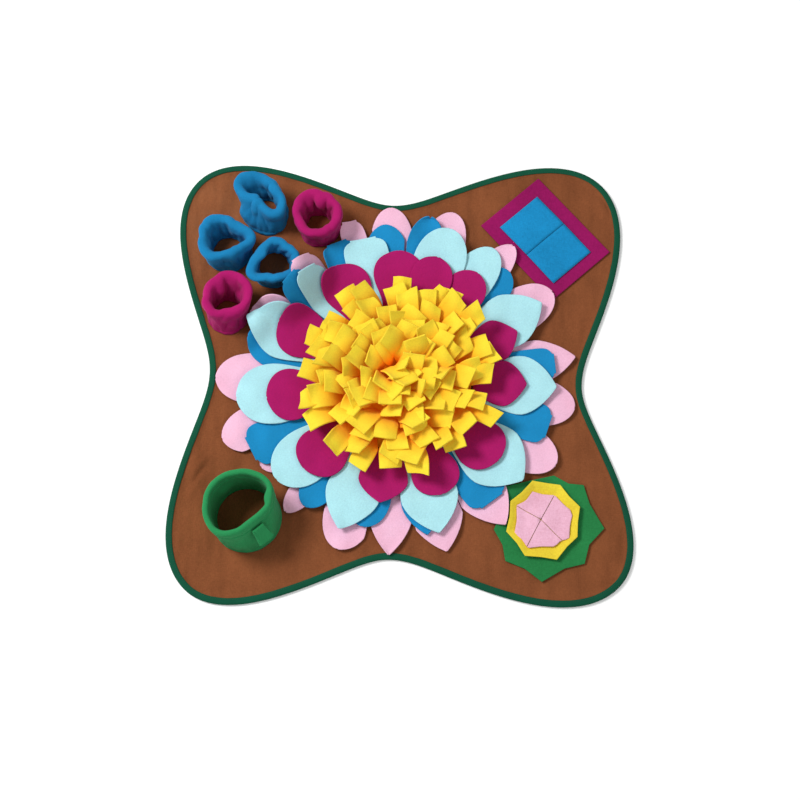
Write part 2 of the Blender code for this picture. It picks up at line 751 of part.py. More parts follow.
def add_pile(planned):
    """The backing with its strips: the backing's top is cut round every root, so the whole pile is one body."""
    rim = [FLOWER + polar(360 * k / 32, BACKING_REACH) for k in range(32)]
    plan = [Vector(p[:2]) for p in rim]
    loops = [list(range(32))]
    rings = [strip_rings(strip, STRIP_FLEECE) for strip in planned]
    for strip_ring in rings:
        first = len(plan)
        plan += [Vector(p[:2]) for p in strip_ring[0]]
        loops.append([first, first + 1, first + 2, first + 3])
    flat_points, _, flat_faces, _, _, sources = delaunay_2d_cdt(plan, [], loops, 1, 1e-6)
    top_z = FELT + GAP + BACKING_FELT
    points = [(p.x, p.y, top_z) for p in flat_points]
    faces = [list(face) for face, source in zip(flat_faces, sources) if set(source) == {0}]
    low = len(points)
    points += [(p.x, p.y, FELT + GAP) for p in rim]
    faces.append([low + k for k in range(31, -1, -1)])
    for k in range(32):
        m = (k + 1) % 32
        faces.append([low + k, low + m, m, k])
    for number, strip_ring in enumerate(rings):
        below = loops[number + 1]
        for ring in strip_ring[1:]:
            above = list(range(len(points), len(points) + 4))
            points += [tuple(p) for p in ring]
            for k in range(4):
                m = (k + 1) % 4
                faces.append([below[k], below[m], above[m], above[k]])
            below = above
        faces.append(below)
    add_piece("pile_yellow", "yellow", points, faces)


# --- the pockets -----------------------------------------------------------------------------------------------


def square_corners(middle, size, angle):
    along, across = polar(angle, size[0] / 2), polar(angle + 90, size[1] / 2)
    centre = Vector((*middle, 0.0))
    signs = ((-1, -1), (1, -1), (1, 1), (-1, 1))
    return [(centre + along * a + across * b)[:2] for a, b in signs]


def add_square_pocket():
    """The magenta square and its two flaps, which rise a little towards the slit between them."""
    bottom = FELT + GAP
    add_flat("pocket_square", "magenta", square_corners(SQUARE_MIDDLE, SQUARE_SIZE, SQUARE_ANGLE), bottom, SQUARE_FELT)
    level = bottom + SQUARE_FELT + GAP + SQUARE_FELT / 2
    centre = Vector((*FLAP_MIDDLE, 0.0))
    for name, sign in (("pocket_flap_upper", -1), ("pocket_flap_lower", 1)):
        grid = []
        for row in (0.0, 0.35, 0.7, 1.0):
            line = []
            for column in (-1.0, -0.4, 0.4, 1.0):
                away = FLAP_SLIT / 2 + FLAP_SIZE[0] * (1 - row)
                place = centre + polar(SQUARE_ANGLE, sign * away) + polar(SQUARE_ANGLE + 90, column * FLAP_SIZE[1] / 2)
                rise = FLAP_RISE * smooth(row) * (1 - 0.55 * column * column)
                line.append((place.x, place.y, level + rise))
            grid.append(line if sign < 0 else line[::-1])
        add_sheet(name, "blue", np.array(grid), SQUARE_FELT)


def cut_outline(middle, corners):
    """The outline's corners in the plan, from their directions and reaches."""
    return [(Vector((*middle, 0.0)) + polar(corner.angle, corner.reach))[:2] for corner in corners]


def corner_reach(corners, angle):
    """How far a polygon given by its corners reaches in a direction."""
    for index, corner in enumerate(corners):
        after = corners[(index + 1) % len(corners)]
        width = (after.angle - corner.angle) % 360
        part = (angle - corner.angle) % 360
        if part < width or width == 0:
            a, b = polar(corner.angle, corner.reach), polar(after.angle, after.reach)
            ray = polar(angle, 1.0)
            return (a.x * b.y - a.y * b.x) / (ray.x * (b - a).y - ray.y * (b - a).x)
    raise ValueError(angle)


def add_flower_pocket():
    """The star, the octagon on it, and four flaps that meet at a crossed slit."""
    bottom = FELT + GAP
    add_flat("pocket_star", "leaf_green", cut_outline(STAR_MIDDLE, STAR_CORNERS), bottom, POCKET_FELT)
    bottom += POCKET_FELT + GAP
    add_flat("pocket_octagon", "gold", cut_outline(OCTAGON_MIDDLE, OCTAGON_CORNERS), bottom, POCKET_FELT)
    level = bottom + POCKET_FELT + GAP + POCKET_FELT / 2
    centre = Vector((*PINK_FLAP_MIDDLE, 0.0))
    for number, start in enumerate(PINK_SLITS, 1):
        end = PINK_SLITS[number % len(PINK_SLITS)]
        width = (end - start) % 360
        inside = [c.angle for c in PINK_FLAP_CORNERS if 0 < (c.angle - start) % 360 < width]
        grid = []
        for row in (0.0, 0.5, 1.0):
            line = []
            for angle in (start, *sorted(inside, key=lambda a: (a - start) % 360), end):
                reach = corner_reach(PINK_FLAP_CORNERS, angle)
                away = max(2.0, reach * row)
                inset = polar(start + width / 2, FLAP_SLIT * (1 - 0.2 * row))
                place = centre + polar(angle, away) + inset
                line.append((place.x, place.y, level + PINK_FLAP_RISE * (1 - smooth(row))))
            grid.append(line)
        add_sheet(f"pocket_pink_flap_{number}", "pink", np.array(grid), POCKET_FELT)


def main():
    for old in list(bpy.data.objects):
        bpy.data.objects.remove(old, do_unlink=True)
    outline = mat_outline()
    inward = inward_normals(outline)
    add_base(outline, inward)
    add_binding(outline, inward)
    for cup in CUPS:
        add_cup(cup)
    add_tab(CUPS[-1])
    add_petal_strips("pink", PINK)
    add_petal_strips("blue", BLUE)
    add_single_petals("light_blue", LIGHT_BLUE)
    add_single_petals("magenta", MAGENTA)
    add_pile(plan_strips())
    add_square_pocket()
    add_flower_pocket()


main()
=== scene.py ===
"""The snuffle mat's looks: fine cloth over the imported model, its finishes, the floor, light and camera.

The tables hold millimetres and degrees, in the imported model's frame.
"""

import math
import random
from collections import namedtuple

import bpy
import numpy as np
from mathutils import Matrix, Vector, noise
from mathutils.bvhtree import BVHTree


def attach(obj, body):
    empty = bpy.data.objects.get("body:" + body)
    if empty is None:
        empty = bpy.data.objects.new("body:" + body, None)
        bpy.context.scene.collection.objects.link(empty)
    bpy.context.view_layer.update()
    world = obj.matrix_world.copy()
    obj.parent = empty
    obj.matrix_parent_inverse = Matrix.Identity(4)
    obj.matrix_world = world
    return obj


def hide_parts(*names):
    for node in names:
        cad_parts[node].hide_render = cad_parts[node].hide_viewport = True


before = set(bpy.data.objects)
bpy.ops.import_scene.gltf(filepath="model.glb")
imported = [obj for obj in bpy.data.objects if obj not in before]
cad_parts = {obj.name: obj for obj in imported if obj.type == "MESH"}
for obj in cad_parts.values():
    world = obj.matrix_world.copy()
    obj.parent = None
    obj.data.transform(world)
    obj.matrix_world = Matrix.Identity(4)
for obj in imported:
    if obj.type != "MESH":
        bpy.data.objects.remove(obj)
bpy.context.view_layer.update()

MM = 0.001
GAP = 0.3

# The mat.
FELT = 3.0
BASE_STEPS = 320
BASE_RINGS = (0.06, 0.88, 26)
BASE_RIM_DEPTHS = (22.0, 17.0, 12.0, 10.0)
BASE_TUCK = 5.0
RAMP_SHARE = 0.6
LOBE_FULLNESS = 6.9
LOBE_POINT = 1.6
TAPE = 1.0
TAPE_WIDTH = 8.5
TAPE_STEPS = 640
TAPE_RIPPLE = 0.25

Side = namedtuple("Side", "angle reach")
SIDES = (
    Side(-3, 240),
    Side(45, 387),
    Side(91, 242),
    Side(134, 390),
    Side(179, 249),
    Side(226, 390),
    Side(267.5, 243),
    Side(315, 393),
)
Crease = namedtuple("Crease", "x y angle length width height")
CREASES = (
    Crease(-264, -128, 118, 70, 22, 4.2),
    Crease(272, 244, -50, 60, 17, 4.4),
    Crease(252, 252, -50, 50, 14, 2.6),
    Crease(-262, 256, 75, 60, 18, 4.0),
    Crease(-240, 262, 60, 44, 14, 2.6),
    Crease(-228, -270, 20, 70, 20, 3.0),
    Crease(262, -262, -35, 60, 24, 3.0),
)

# The felt is paler where it is worn.
WORN_MIDDLE = (-262.0, 235.0)
WORN_REACH = 150.0

# Stitches: what part of the pitch each fills to either side, how far it sinks in, and its size along it.
# A row of stitches has a pitch and a thickness.
STITCH_REACH = 0.34
STITCH_SINK = 0.2
STITCH_TAPER = ((0.0, 0.25), (0.25, 0.85), (0.75, 0.85), (1.0, 0.25))
STITCH_SIDES = 6
STITCH_INSET = 2.0
SEWING_STEPS = 1400
BINDING_STITCH = (3.1, 0.9)
FLAP_STITCH = (3.0, 0.7)

# The cups. The reaches are the rim's, every 30 degrees from the right.
Cup = namedtuple("Cup", "name colour x y shift_x shift_y foot height wall roll reaches")
CUPS = (
    Cup(
        "cup_blue_left", "blue", -229, 175, -3, 6, 26, 48, 2.6, 4.6,
        (38, 27, 23, 26, 31, 31, 29, 32, 31, 25, 24, 27),
    ),
    Cup(
        "cup_blue_top", "blue", -179, 228, -4, 16, 26, 48, 2.6, 4.6,
        (22, 20, 20, 24, 31, 38, 27, 17, 15, 18, 35, 32),
    ),
    Cup(
        "cup_blue_inner", "blue", -168, 153, 8, -7, 26, 47, 2.4, 4.2,
        (27, 26, 25, 27, 30, 28, 32, 36, 25, 22, 24, 26),
    ),
    Cup(
        "cup_magenta_right", "magenta", -108, 210, -2, 6, 24, 48, 2.6, 4.4,
        (30, 28, 27, 29, 32, 30, 27, 26, 30, 31, 28, 29),
    ),
    Cup(
        "cup_magenta_left", "magenta", -228, 86, 3, 15, 24, 48, 2.6, 4.4,
        (30, 29, 29, 29, 27, 26, 26, 30, 31, 25, 25, 28),
    ),
    Cup(
        "cup_green", "green", -195, -188, -7, 9, 41.5, 72, 2.4, 3.6,
        (41, 45, 41, 37, 36, 37, 38, 42, 45, 38, 31, 33),
    ),
)

# Soft bulges in a cup's wall. Each has a direction, a width in degrees, a height at its middle, how far
# it reaches above and below that, and how far it pushes the wall in.
Fold = namedtuple("Fold", "cup angle width height tall push")
FOLDS = (
    Fold("cup_magenta_right", 75, 44, 37, 22, 9.0),
    Fold("cup_magenta_right", 122, 40, 30, 20, 7.0),
    Fold("cup_magenta_left", 125, 46, 34, 22, 9.0),
    Fold("cup_blue_left", 60, 40, 26, 14, 3.5),
    Fold("cup_blue_left", 245, 70, 24, 18, -3.5),
    Fold("cup_blue_inner", 215, 60, 24, 18, -3.0),
    Fold("cup_blue_inner", 80, 40, 26, 16, 4.0),
    Fold("cup_blue_inner", 212, 76, 47, 30, -4.0),
    Fold("cup_blue_inner", 92, 64, 47, 28, -3.5),
    Fold("cup_blue_inner", 152, 80, 46, 30, 4.5),
    Fold("cup_blue_top", 215, 90, 45, 16, 4.5),
    Fold("cup_blue_top", 30, 70, 45, 16, 4.0),
    Fold("cup_blue_top", 208, 110, 22, 22, -7.5),
    Fold("cup_blue_top", 252, 26, 40, 18, 3.5),
    Fold("cup_blue_top", 20, 40, 22, 14, 3.0),
    Fold("cup_green", 130, 50, 34, 20, 3.0),
    Fold("cup_green", 8, 36, 66, 44, 4.5),
    Fold("cup_green", 262, 60, 26, 20, -2.4),
    Fold("cup_green", 330, 34, 34, 30, -2.6),
)
CUP_COLUMNS = 128
CUP_LEAN = 1.3
WALL_GROWTH = 0.15
WALL_SLACK = 3.0
WALL_CREASE = 3.0
LINING_BULGE = 3.5
RIM_PLUMP = 0.28
RIM_SAG = 2.4
ROLL_SWELL = 1.14
ROLL_START = 0.62
ROLL_GROWTH = 0.3
STIFFNESS = {"cup_green": 0.28}
SLACK_WAVES = (0.06, 0.3)
CREASE_WAVES = (0.14, 0.45)
PLUMP_WAVES = (0.07, 1.0)
SAG_WAVES = (0.05, 1.0)
HEM_HEIGHT = 7.0
HEM_SWELL = 1.0
SEAMS = {"cup_green": 12.0}
SEAM_DEPTH = 1.5
OUTER_SHARE = 0.35

# The flower.
FLOWER = Vector((-1.5, -2.4, 0.0))
PETAL_FELT = 1.6
ROOT_REACH = 98.0
BAND_REACH = 110.0
LIFT_END = 240.0
LIFTS = {"pink": 4.0, "blue": 8.0, "light_blue": 12.0, "magenta": 18.0}
WIDEST = 0.58
ROOT_SHARE = 0.62
Tip = namedtuple("Tip", "along across left")
TIPS = {
    "round": Tip(2.2, 0.5, 0.06),
    "point": Tip(1.7, 0.85, 0.03),
    "blunt": Tip(7.5, 0.5, 0.58),
}
Petal = namedtuple("Petal", "angle reach width tip edge curl level")
MAGENTA = (
    Petal(21, 167, 57, "point", -1.5, 1.0, 3),
    Petal(53, 176, 56, "round", -1.0, -1.0, 4),
    Petal(72, 171, 56, "round", 1.5, 1.0, 5),
    Petal(90, 173, 66, "round", -1.5, 0.5, 4),
    Petal(119, 172, 66, "round", 0.8, 1.5, 3),
    Petal(155, 173, 68, "round", -1.5, 0.0, 3),
    Petal(190, 173, 70, "round", -1.5, 1.0, 3),
    Petal(226, 173, 68, "round", 1.0, -1.0, 3),
    Petal(262, 170, 64, "point", -1.0, 0.5, 3),
    Petal(290, 167, 62, "round", -1.5, -0.5, 3),
    Petal(319, 171, 68, "round", -1.0, 0.5, 3),
    Petal(356, 167, 62, "point", -1.5, 0.5, 3),
)
LIGHT_BLUE = (
    Petal(28, 214, 74, "point", -1.5, 0.5, 2),
    Petal(54, 219, 58, "round", -1.0, -1.0, 2),
    Petal(71, 216, 70, "round", 0.5, 1.0, 3),
    Petal(104, 197, 60, "blunt", 1.0, 0.5, 2),
    Petal(131.5, 182, 46, "blunt", 0.0, 0.0, 2),
    Petal(158.5, 213, 70, "point", 1.0, 0.5, 2),
    Petal(188, 212, 82, "round", -1.0, 0.5, 2),
    Petal(221.5, 208, 72, "round", -1.0, 0.5, 2),
    Petal(249.5, 215, 71, "point", -1.0, 0.5, 2),
    Petal(284, 213, 74, "point", 1.0, -1.0, 2),
    Petal(319, 211, 86, "point", -1.5, 0.5, 2),
    Petal(356, 206, 80, "point", -1.0, -0.5, 2),
)
BLUE = (
    Petal(5, 206, 46, "blunt", 0.5, 0.5, 1),
    Petal(-19, 206, 54, "blunt", -0.5, 0.0, 1),
    Petal(-54, 204, 58, "blunt", -0.5, 0.5, 1),
    Petal(-80, 212, 52, "point", 0.5, 0.0, 1),
    Petal(-103, 203, 56, "round", -0.5, 0.0, 1),
    Petal(-125, 209, 48, "round", 1.0, 0.5, 1),
    Petal(-153, 214, 58, "blunt", -0.5, 0.0, 1),
    Petal(-170, 211, 50, "round", -0.5, 0.0, 1),
    Petal(165, 204, 60, "round", -0.5, 0.0, 1),
    Petal(139, 190, 40, "blunt", 0.5, 0.0, 1),
    Petal(114, 204, 48, "blunt", 0.5, 0.0, 1),
    Petal(95, 214, 56, "round", -1.0, 0.5, 1),
    Petal(79, 226, 50, "round", 4.5, 3.5, 1),
    Petal(45, 208, 54, "round", 0.5, 0.5, 1),
    Petal(30, 206, 46, "round", 0.5, 0.5, 1),
)
PINK = (
    Petal(7, 234, 60, "point", -0.5, 0.5, 0),
    Petal(-10, 233, 64, "round", -0.5, 0.5, 0),
    Petal(-30, 234, 62, "round", 0.5, 1.0, 0),
    Petal(-55, 238, 66, "point", 0.5, 1.5, 0),
    Petal(-75, 237, 70, "point", -0.5, 0.5, 0),
    Petal(-93, 234, 56, "point", 1.5, 0.5, 0),
    Petal(-109, 239, 66, "round", -0.5, 0.5, 0),
    Petal(-129, 229, 36, "round", 1.0, 1.0, 0),
    Petal(-146, 213, 48, "round", 0.5, 0.0, 0),
    Petal(-160, 242, 64, "round", -0.5, 0.5, 0),
    Petal(180, 239, 70, "round", -0.5, 0.5, 0),
    Petal(155, 213, 62, "round", 1.0, 1.0, 0),
    Petal(130, 201, 46, "blunt", 0.0, 0.0, 0),
    Petal(107, 228, 34, "blunt", 1.5, 2.0, 0),
    Petal(92.5, 240, 58, "round", -0.5, 0.5, 0),
    Petal(72, 244, 58, "round", 0.5, 1.0, 0),
    Petal(50, 240, 44, "round", 1.5, 1.5, 0),
    Petal(30, 237, 62, "round", 1.0, 1.5, 0),
)
PETAL_FULLNESS = 0.8
PETALS_A_STRIP = 3
STRIP_DEPTH = 145.0
STRIP_SETBACK = 0.5
STRIP_END = 0.3
PETAL_ROWS = 20
PETAL_COLUMNS = 13
PETAL_CROWDING = 1.7
PETAL_SLACK = 2.6
OWN_SLACK = 1.5
ROOT_CREASE = 1.6
PETAL_WAVES = 0.027
OWN_WAVES = 0.05
ROOT_WAVES = 6.5

CLIMB_STEP = 4.0
Climb = namedtuple("Climb", "cup height start full")
CLIMBS = (
    Climb("cup_blue_inner", 47, 55, 3),
    Climb("cup_magenta_left", 16, 40, 8),
    Climb("cup_magenta_right", 6, 30, 4),
)

# The pile.
PILE_REACH = 91.0
BACKING_REACH = 96.0
BACKING_INNER = 40.0
BACKING_FELT = 2.0
BACKING_STEPS = 48
STRIP_COUNT = 132
STRIP_WIDTH = 29.0
STRIP_ROOT_WIDTH = 9.5
STRIP_WIDENING = 0.5
STRIP_FLEECE = 2.2
STRIP_ROWS = (0.0, 0.36, 0.68, 1.0)
STRIP_BEND = 2.2
STRIP_CLEARANCE = 0.7
STRIP_TRIES = 60
GUARD_STEPS = 64
GUARD_REACH = 170.0
GOLDEN_ANGLE = math.radians(137.508)
PILE_SEED = 7
RIBBON_ROWS = 14
RIBBON_COLUMNS = 9
RIBBON_SPREAD = 1.1
RIBBON_FOLD = (0.3, 4.5)
RIBBON_CRUMPLE = 4.5
RIBBON_WAVES = (1.1, 2.6)
RIBBON_TWIST = 38.0
RIBBON_VEER = 8.0
RIBBON_SKEW = 2.5
RIBBON_FULLNESS = 0.85
FILLER_TRIES = 800
FILLER_SQUEEZE = 0.4
FILLER_CROWDING = 0.9
FILLER_SPREAD = 0.92

# The pockets.
SQUARE_MIDDLE = (196.5, 194.0)
SQUARE_ANGLE = -49.0
SQUARE_SIZE = (142.0, 105.0)
FLAP_MIDDLE = (196.5, 192.5)
FLAP_SIZE = (53.0, 68.0)
FLAP_SLIT = 0.6
FLAP_RISE = 3.2
FLAP_CROWN = 0.55
FLAP_GRID = (14, 17)
FLAP_SEAM = 0.955
FLAP_SEAM_INSET = 1.6
FLAP_STITCH_POINTS = 40
POCKET_FELT = 1.5
PATCH_RINGS = 9
PATCH_STEP = 3.0
CURL_START = 0.7
Corner = namedtuple("Corner", "angle reach")
STAR_MIDDLE = (189.0, -202.0)
STAR_CORNERS = (
    Corner(0, 72),
    Corner(30, 63),
    Corner(50, 74),
    Corner(64, 65),
    Corner(82, 70),
    Corner(110, 66),
    Corner(136, 78),
    Corner(160, 62),
    Corner(181, 69),
    Corner(200, 62),
    Corner(217, 69),
    Corner(239, 60),
    Corner(262, 69),
    Corner(291, 55),
    Corner(315, 64),
    Corner(338, 56),
)
OCTAGON_MIDDLE = (182.0, -191.5)
OCTAGON_CORNERS = (
    Corner(19, 51),
    Corner(41, 46),
    Corner(62, 51),
    Corner(83, 48),
    Corner(103, 52),
    Corner(126, 44),
    Corner(149, 47),
    Corner(174, 42),
    Corner(198, 49),
    Corner(222, 45),
    Corner(243, 52),
    Corner(267, 48),
    Corner(288, 54),
    Corner(311, 46),
    Corner(333, 49),
    Corner(356, 45),
)
PINK_FLAP_MIDDLE = (180.0, -191.0)
PINK_FLAP_CORNERS = (
    Corner(13, 42),
    Corner(32, 35),
    Corner(59, 36),
    Corner(84, 32),
    Corner(105, 37),
    Corner(128, 30),
    Corner(149, 35),
    Corner(181, 30),
    Corner(208, 38),
    Corner(226, 35),
    Corner(244, 40),
    Corner(269, 34),
    Corner(296, 38),
    Corner(311, 36),
    Corner(324, 43),
    Corner(348, 37),
)
PINK_SLITS = (60, 150, 242, 314)
PINK_FLAP_RISE = 2.0
PINK_SLIT = 0.4
PINK_CURL = 1.8
PINK_CURL_START = 0.6
PINK_CROWDING = 1.6
PINK_REACH = 39.0
PINK_GRID = (10, 15)

# The tab on the green cup.
TAB_COLUMNS = (19.7, 21.6)
TAB_HEIGHTS = (61.0, 42.0)
TAB_ROWS = 9
TAB_FELT = 4.0
TAB_SEAT = 2.8
TAB_STAND = 12.0
CUP_STEPS = 24

# What the flat cloth measures, in metres and square metres, and what part of its box a cut shape fills.
BASE_FLAT = (0.61, 0.61)
BASE_AREA = 0.27
TAPE_FLAT = (2.14, 0.024)
TAB_FLAT = (0.021, 0.022)
STAR_FLAT = (0.146, 0.14)
OCTAGON_FLAT = (0.104, 0.104)
PETAL_TAKE_UP = 1.05
STRIP_BOX = 1.6
PILE_WIDTH = 0.5
PILE_FILL = 0.96
PINK_WIDTH = 0.045
PINK_FILL = 0.8

# The name under which a mesh carries a number for its finish: a strip's share of its length, which sets
# the painted shade towards its root, or how worn the felt is.
MARK = "mark"

# The relief of felt: the fibres' depth in metres, their share of the whole relief, and how strongly the
# relief shows on the base and on the pockets.
FIBRE_DEPTH = 0.0008
FIBRE_RELIEF = 0.11
BASE_RELIEF = 0.8
POCKET_RELIEF = 0.35

# The thread's colour as a share of the cloth's.
THREAD_SHADE = 0.8

# Colours of the cloth, as sRGB shares.
COLOURS = {
    "brown": (0.515, 0.30, 0.18),
    "tan": (0.61, 0.39, 0.255),
    "dark_green": (0.055, 0.33, 0.235),
    "magenta": (0.665, 0.095, 0.395),
    "plum": (0.585, 0.09, 0.36),
    "blue": (0.11, 0.54, 0.76),
    "deep_blue": (0.10, 0.485, 0.69),
    "light_blue": (0.69, 0.90, 0.945),
    "pink": (0.995, 0.745, 0.845),
    "rose": (0.985, 0.70, 0.785),
    "yellow": (1.0, 0.845, 0.22),
    # orange is a painted shade: the colour the pile's strips take towards their roots, where they lie in
    # shadow.
    "orange": (1.0, 0.60, 0.06),
    "green": (0.17, 0.56, 0.33),
    "leaf_green": (0.16, 0.49, 0.27),
    "gold": (0.97, 0.81, 0.23),
    "floor": (0.99, 0.99, 0.99),
}

# The fleeces named for the colour they have.
FLEECES = ("magenta", "blue", "light_blue", "pink", "green")

# Each felt of the pockets, and its colour.
POCKET_FELTS = {
    "blue": "blue",
    "magenta": "plum",
    "green": "leaf_green",
    "yellow": "gold",
    "pink": "rose",
}


# --- shaders -------------------------------------------------------------------------------------


class Value:
    """A shader's number that Python's operators work on."""

    def __init__(self, nodes, socket):
        self.nodes = nodes
        self.socket = socket

    def maths(self, operation, first, second):
        return self.nodes.add("ShaderNodeMath", {"operation": operation}, {0: first, 1: second})

    def __add__(self, other):
        return self.maths("ADD", self, other)

    def __radd__(self, other):
        return self.maths("ADD", other, self)

    def __mul__(self, other):
        return self.maths("MULTIPLY", self, other)

    def __rmul__(self, other):
        return self.maths("MULTIPLY", other, self)


class Finish:
    """A material under construction."""

    def __init__(self, name):
        self.material = bpy.data.materials.new(name)
        self.material.use_nodes = True
        self.tree = self.material.node_tree
        self.shader = self.tree.nodes["Principled BSDF"]

    def plug(self, target, value):
        if isinstance(value, Value):
            self.tree.links.new(value.socket, target)
        else:
            target.default_value = value

    def add(self, kind, settings=None, sockets=None, out=0):
        """A node of a kind, with its settings and sockets, and the output that it is wanted for."""
        node = self.tree.nodes.new(kind)
        for key, value in (settings or {}).items():
            setattr(node, key, value)
        for key, value in (sockets or {}).items():
            self.plug(node.inputs[key], value)
        return Value(self, node.outputs[out])

    def noise(self, scale, detail, rough, stretch=(1, 1, 1)):
        """Noise with waves of about 1 / scale metres. A small stretch draws it out along an axis."""
        here = self.add("ShaderNodeTexCoord", out="Object")
        place = self.add("ShaderNodeMapping", sockets={"Vector": here, "Scale": stretch})
        sockets = {"Vector": place, "Scale": scale, "Detail": detail, "Roughness": rough}
        return self.add("ShaderNodeTexNoise", sockets=sockets)

    def spread(self, value, low, high):
        """The part of a value between two bounds, spread over 0 to 1."""
        sockets = {"Value": value, "From Min": low, "From Max": high}
        return self.add("ShaderNodeMapRange", {"clamp": True}, sockets)

    def sharper(self, value):
        """A noise's value with more contrast."""
        return self.spread(value, 0.3, 0.7)

    def mark(self):
        """The number from 0 to 1 that the mesh carries at each point, under the name MARK."""
        return self.add("ShaderNodeAttribute", {"attribute_name": MARK}, out="Fac")

    def mix(self, factor, first, second):
        """A colour between two colours."""
        sockets = {"Factor": factor, 6: first, 7: second}
        return self.add("ShaderNodeMix", {"data_type": "RGBA"}, sockets, out=2)

    def bump(self, height, distance, strength):
        sockets = {"Height": height, "Distance": distance, "Strength": strength}
        self.plug(self.shader.inputs["Normal"], self.add("ShaderNodeBump", sockets=sockets))

    def set(self, **sockets):
        """Sets or links the shader's own sockets, named with _ for a space."""
        for name, value in sockets.items():
            self.plug(self.shader.inputs[name.replace("_", " ")], value)


def linear(colour, share=1.0):
    """A colour's linear values from its sRGB shares, made darker or lighter by a share."""
    values = [c / 12.92 if c <= 0.04045 else ((c + 0.055) / 1.055) ** 2.4 for c in COLOURS[colour]]
    return (*[min(1.0, v * share) for v in values], 1.0)


def fleece(name, colour, shade=None):
    """Brushed fleece: a matt pile in small clumps, its dye a little uneven. Given a shade colour, a strip
    darkens to it towards its root, a painted shade for the shadow deep in the pile, and the fleece glows
    with a painted light of its own colour.
    """
    finish = Finish(name)
    clumps = finish.noise(520.0, 5.0, 0.7)
    pile = finish.noise(1700.0, 3.0, 0.6)
    cloud = finish.noise(34.0, 3.0, 0.55)
    tone = finish.mix(cloud, linear(colour, 0.95), linear(colour, 1.2))
    tone = finish.mix(finish.sharper(clumps), finish.mix(0.27, tone, linear(colour, 0.5)), tone)
    if shade:
        # Painted shade: towards its root the strip takes the shade colour, standing in for the shadow
        # deep in the pile.
        tone = finish.mix(finish.spread(finish.mark(), 0.12, 0.66), linear(shade), tone)
        # Painted glow: the pile gives off light in its own colour, standing in for light that shines
        # through the fleece.
        finish.set(Emission_Color=tone, Emission_Strength=PILE_GLOW)
    finish.set(Base_Color=tone, Roughness=0.9 + 0.08 * clumps, Specular_IOR_Level=0.1)
    finish.set(Sheen_Weight=0.05, Sheen_Roughness=0.5)
    finish.bump(clumps * 0.7 + pile * 0.3, 0.0011, 0.8)
    return finish.material


def felt(name, colour, depth, worn=None):
    """Needled felt: short crossed fibres. Worn felt is rumpled, and paler where its mesh is marked."""
    finish = Finish(name)
    along = finish.noise(700.0, 4.0, 0.7, (1.0, 0.3, 1.0))
    across = finish.noise(700.0, 4.0, 0.7, (0.3, 1.0, 1.0))
    fibres = (along + across) * 0.5
    cloud = finish.noise(13.0, 5.0, 0.6)
    tone = finish.mix(finish.sharper(cloud), linear(colour, 0.84), linear(colour, 1.24))
    relief = fibres * FIBRE_RELIEF
    if worn:
        patch = finish.mark() * (0.25 + 0.5 * finish.sharper(finish.noise(30.0, 4.0, 0.6)))
        tone = finish.mix(patch, tone, linear(worn))
        relief = relief + finish.noise(11.0, 3.0, 0.5, (1.0, 0.45, 1.0))
        relief = relief + 0.7 * finish.sharper(finish.noise(26.0, 2.0, 0.5, (1.0, 0.3, 1.0)))
    light = finish.mix(0.3, tone, linear(colour, 1.6))
    dark = finish.mix(0.42, tone, linear(colour, 0.45))
    tone = finish.mix(finish.sharper(fibres), dark, light)
    finish.set(Base_Color=tone, Roughness=0.92 + 0.06 * fibres, Specular_IOR_Level=0.08)
    finish.bump(relief, FIBRE_DEPTH / FIBRE_RELIEF, depth)
    return finish.material


def tape_finish(name, colour):
    """Woven binding tape: a fine rib across it."""
    finish = Finish(name)
    rib = finish.noise(1200.0, 2.0, 0.5)
    cloud = finish.noise(60.0, 2.0, 0.5)
    tone = finish.mix(cloud, linear(colour, 0.85), linear(colour, 1.15))
    tone = finish.mix(rib, finish.mix(0.35, tone, linear(colour, 0.4)), tone)
    finish.set(Base_Color=tone, Roughness=0.75 + 0.1 * rib, Specular_IOR_Level=0.12)
    finish.bump(rib, 0.0004, 0.7)
    return finish.material


def thread_finish(name, colour):
    """Twisted sewing thread, a shade darker than the cloth's colour."""
    finish = Finish(name)
    twist = finish.noise(2500.0, 2.0, 0.5)
    tone = finish.mix(twist, linear(colour, 0.7 * THREAD_SHADE), linear(colour, THREAD_SHADE))
    finish.set(Base_Color=tone, Roughness=0.6 + 0.1 * twist)
    return finish.material


def floor_finish():
    """A plain, nearly white floor, lit a little from within so that it stays pale."""
    finish = Finish("studio_floor")
    cloud = finish.noise(3.0, 2.0, 0.5)
    tone = finish.mix(cloud, linear("floor", 0.99), linear("floor", 1.0))
    finish.set(Base_Color=tone, Roughness=0.9 + 0.02 * cloud)
    finish.set(Emission_Color=(1, 1, 1, 1), Emission_Strength=FLOOR_GLOW)
    return finish.material


# --- shapes --------------------------------------------------------------------------------------


def polar(angle, reach):
    """A plan vector from a direction in degrees and a length."""
    return Vector((math.cos(math.radians(angle)), math.sin(math.radians(angle)), 0.0)) * reach


def smooth(t):
    """Rises from 0 to 1 with flat ends as t goes from 0 to 1."""
    t = min(1.0, max(0.0, t))
    return t * t * (3 - 2 * t)


def add_mesh(name, points, faces, material, marks=None):
    """A smooth shaded piece from points in mm. marks has one number a point for the finish."""
    mesh = bpy.data.meshes.new(name)
    mesh.from_pydata([Vector(p) * MM for p in points], [], faces)
    mesh.materials.append(material)
    if marks is not None:
        layer = mesh.attributes.new(MARK, "FLOAT", "POINT")
        layer.data.foreach_set("value", marks)
    mesh.shade_smooth()
    piece = bpy.data.objects.new(name, mesh)
    bpy.context.collection.objects.link(piece)
    return piece


def thicken(piece, thickness):
    """Gives a single layer of faces its thickness to both sides."""
    shell = piece.modifiers.new("thickness", "SOLIDIFY")
    shell.thickness = thickness * MM
    shell.offset = 0.0
    shell.use_even_offset = False


def spread(count):
    """Places from -1 to 1 that crowd together at both ends, so that a cut edge stays crisp."""
    return [math.sin(math.pi / 2 * (2 * index / (count - 1) - 1)) for index in range(count)]


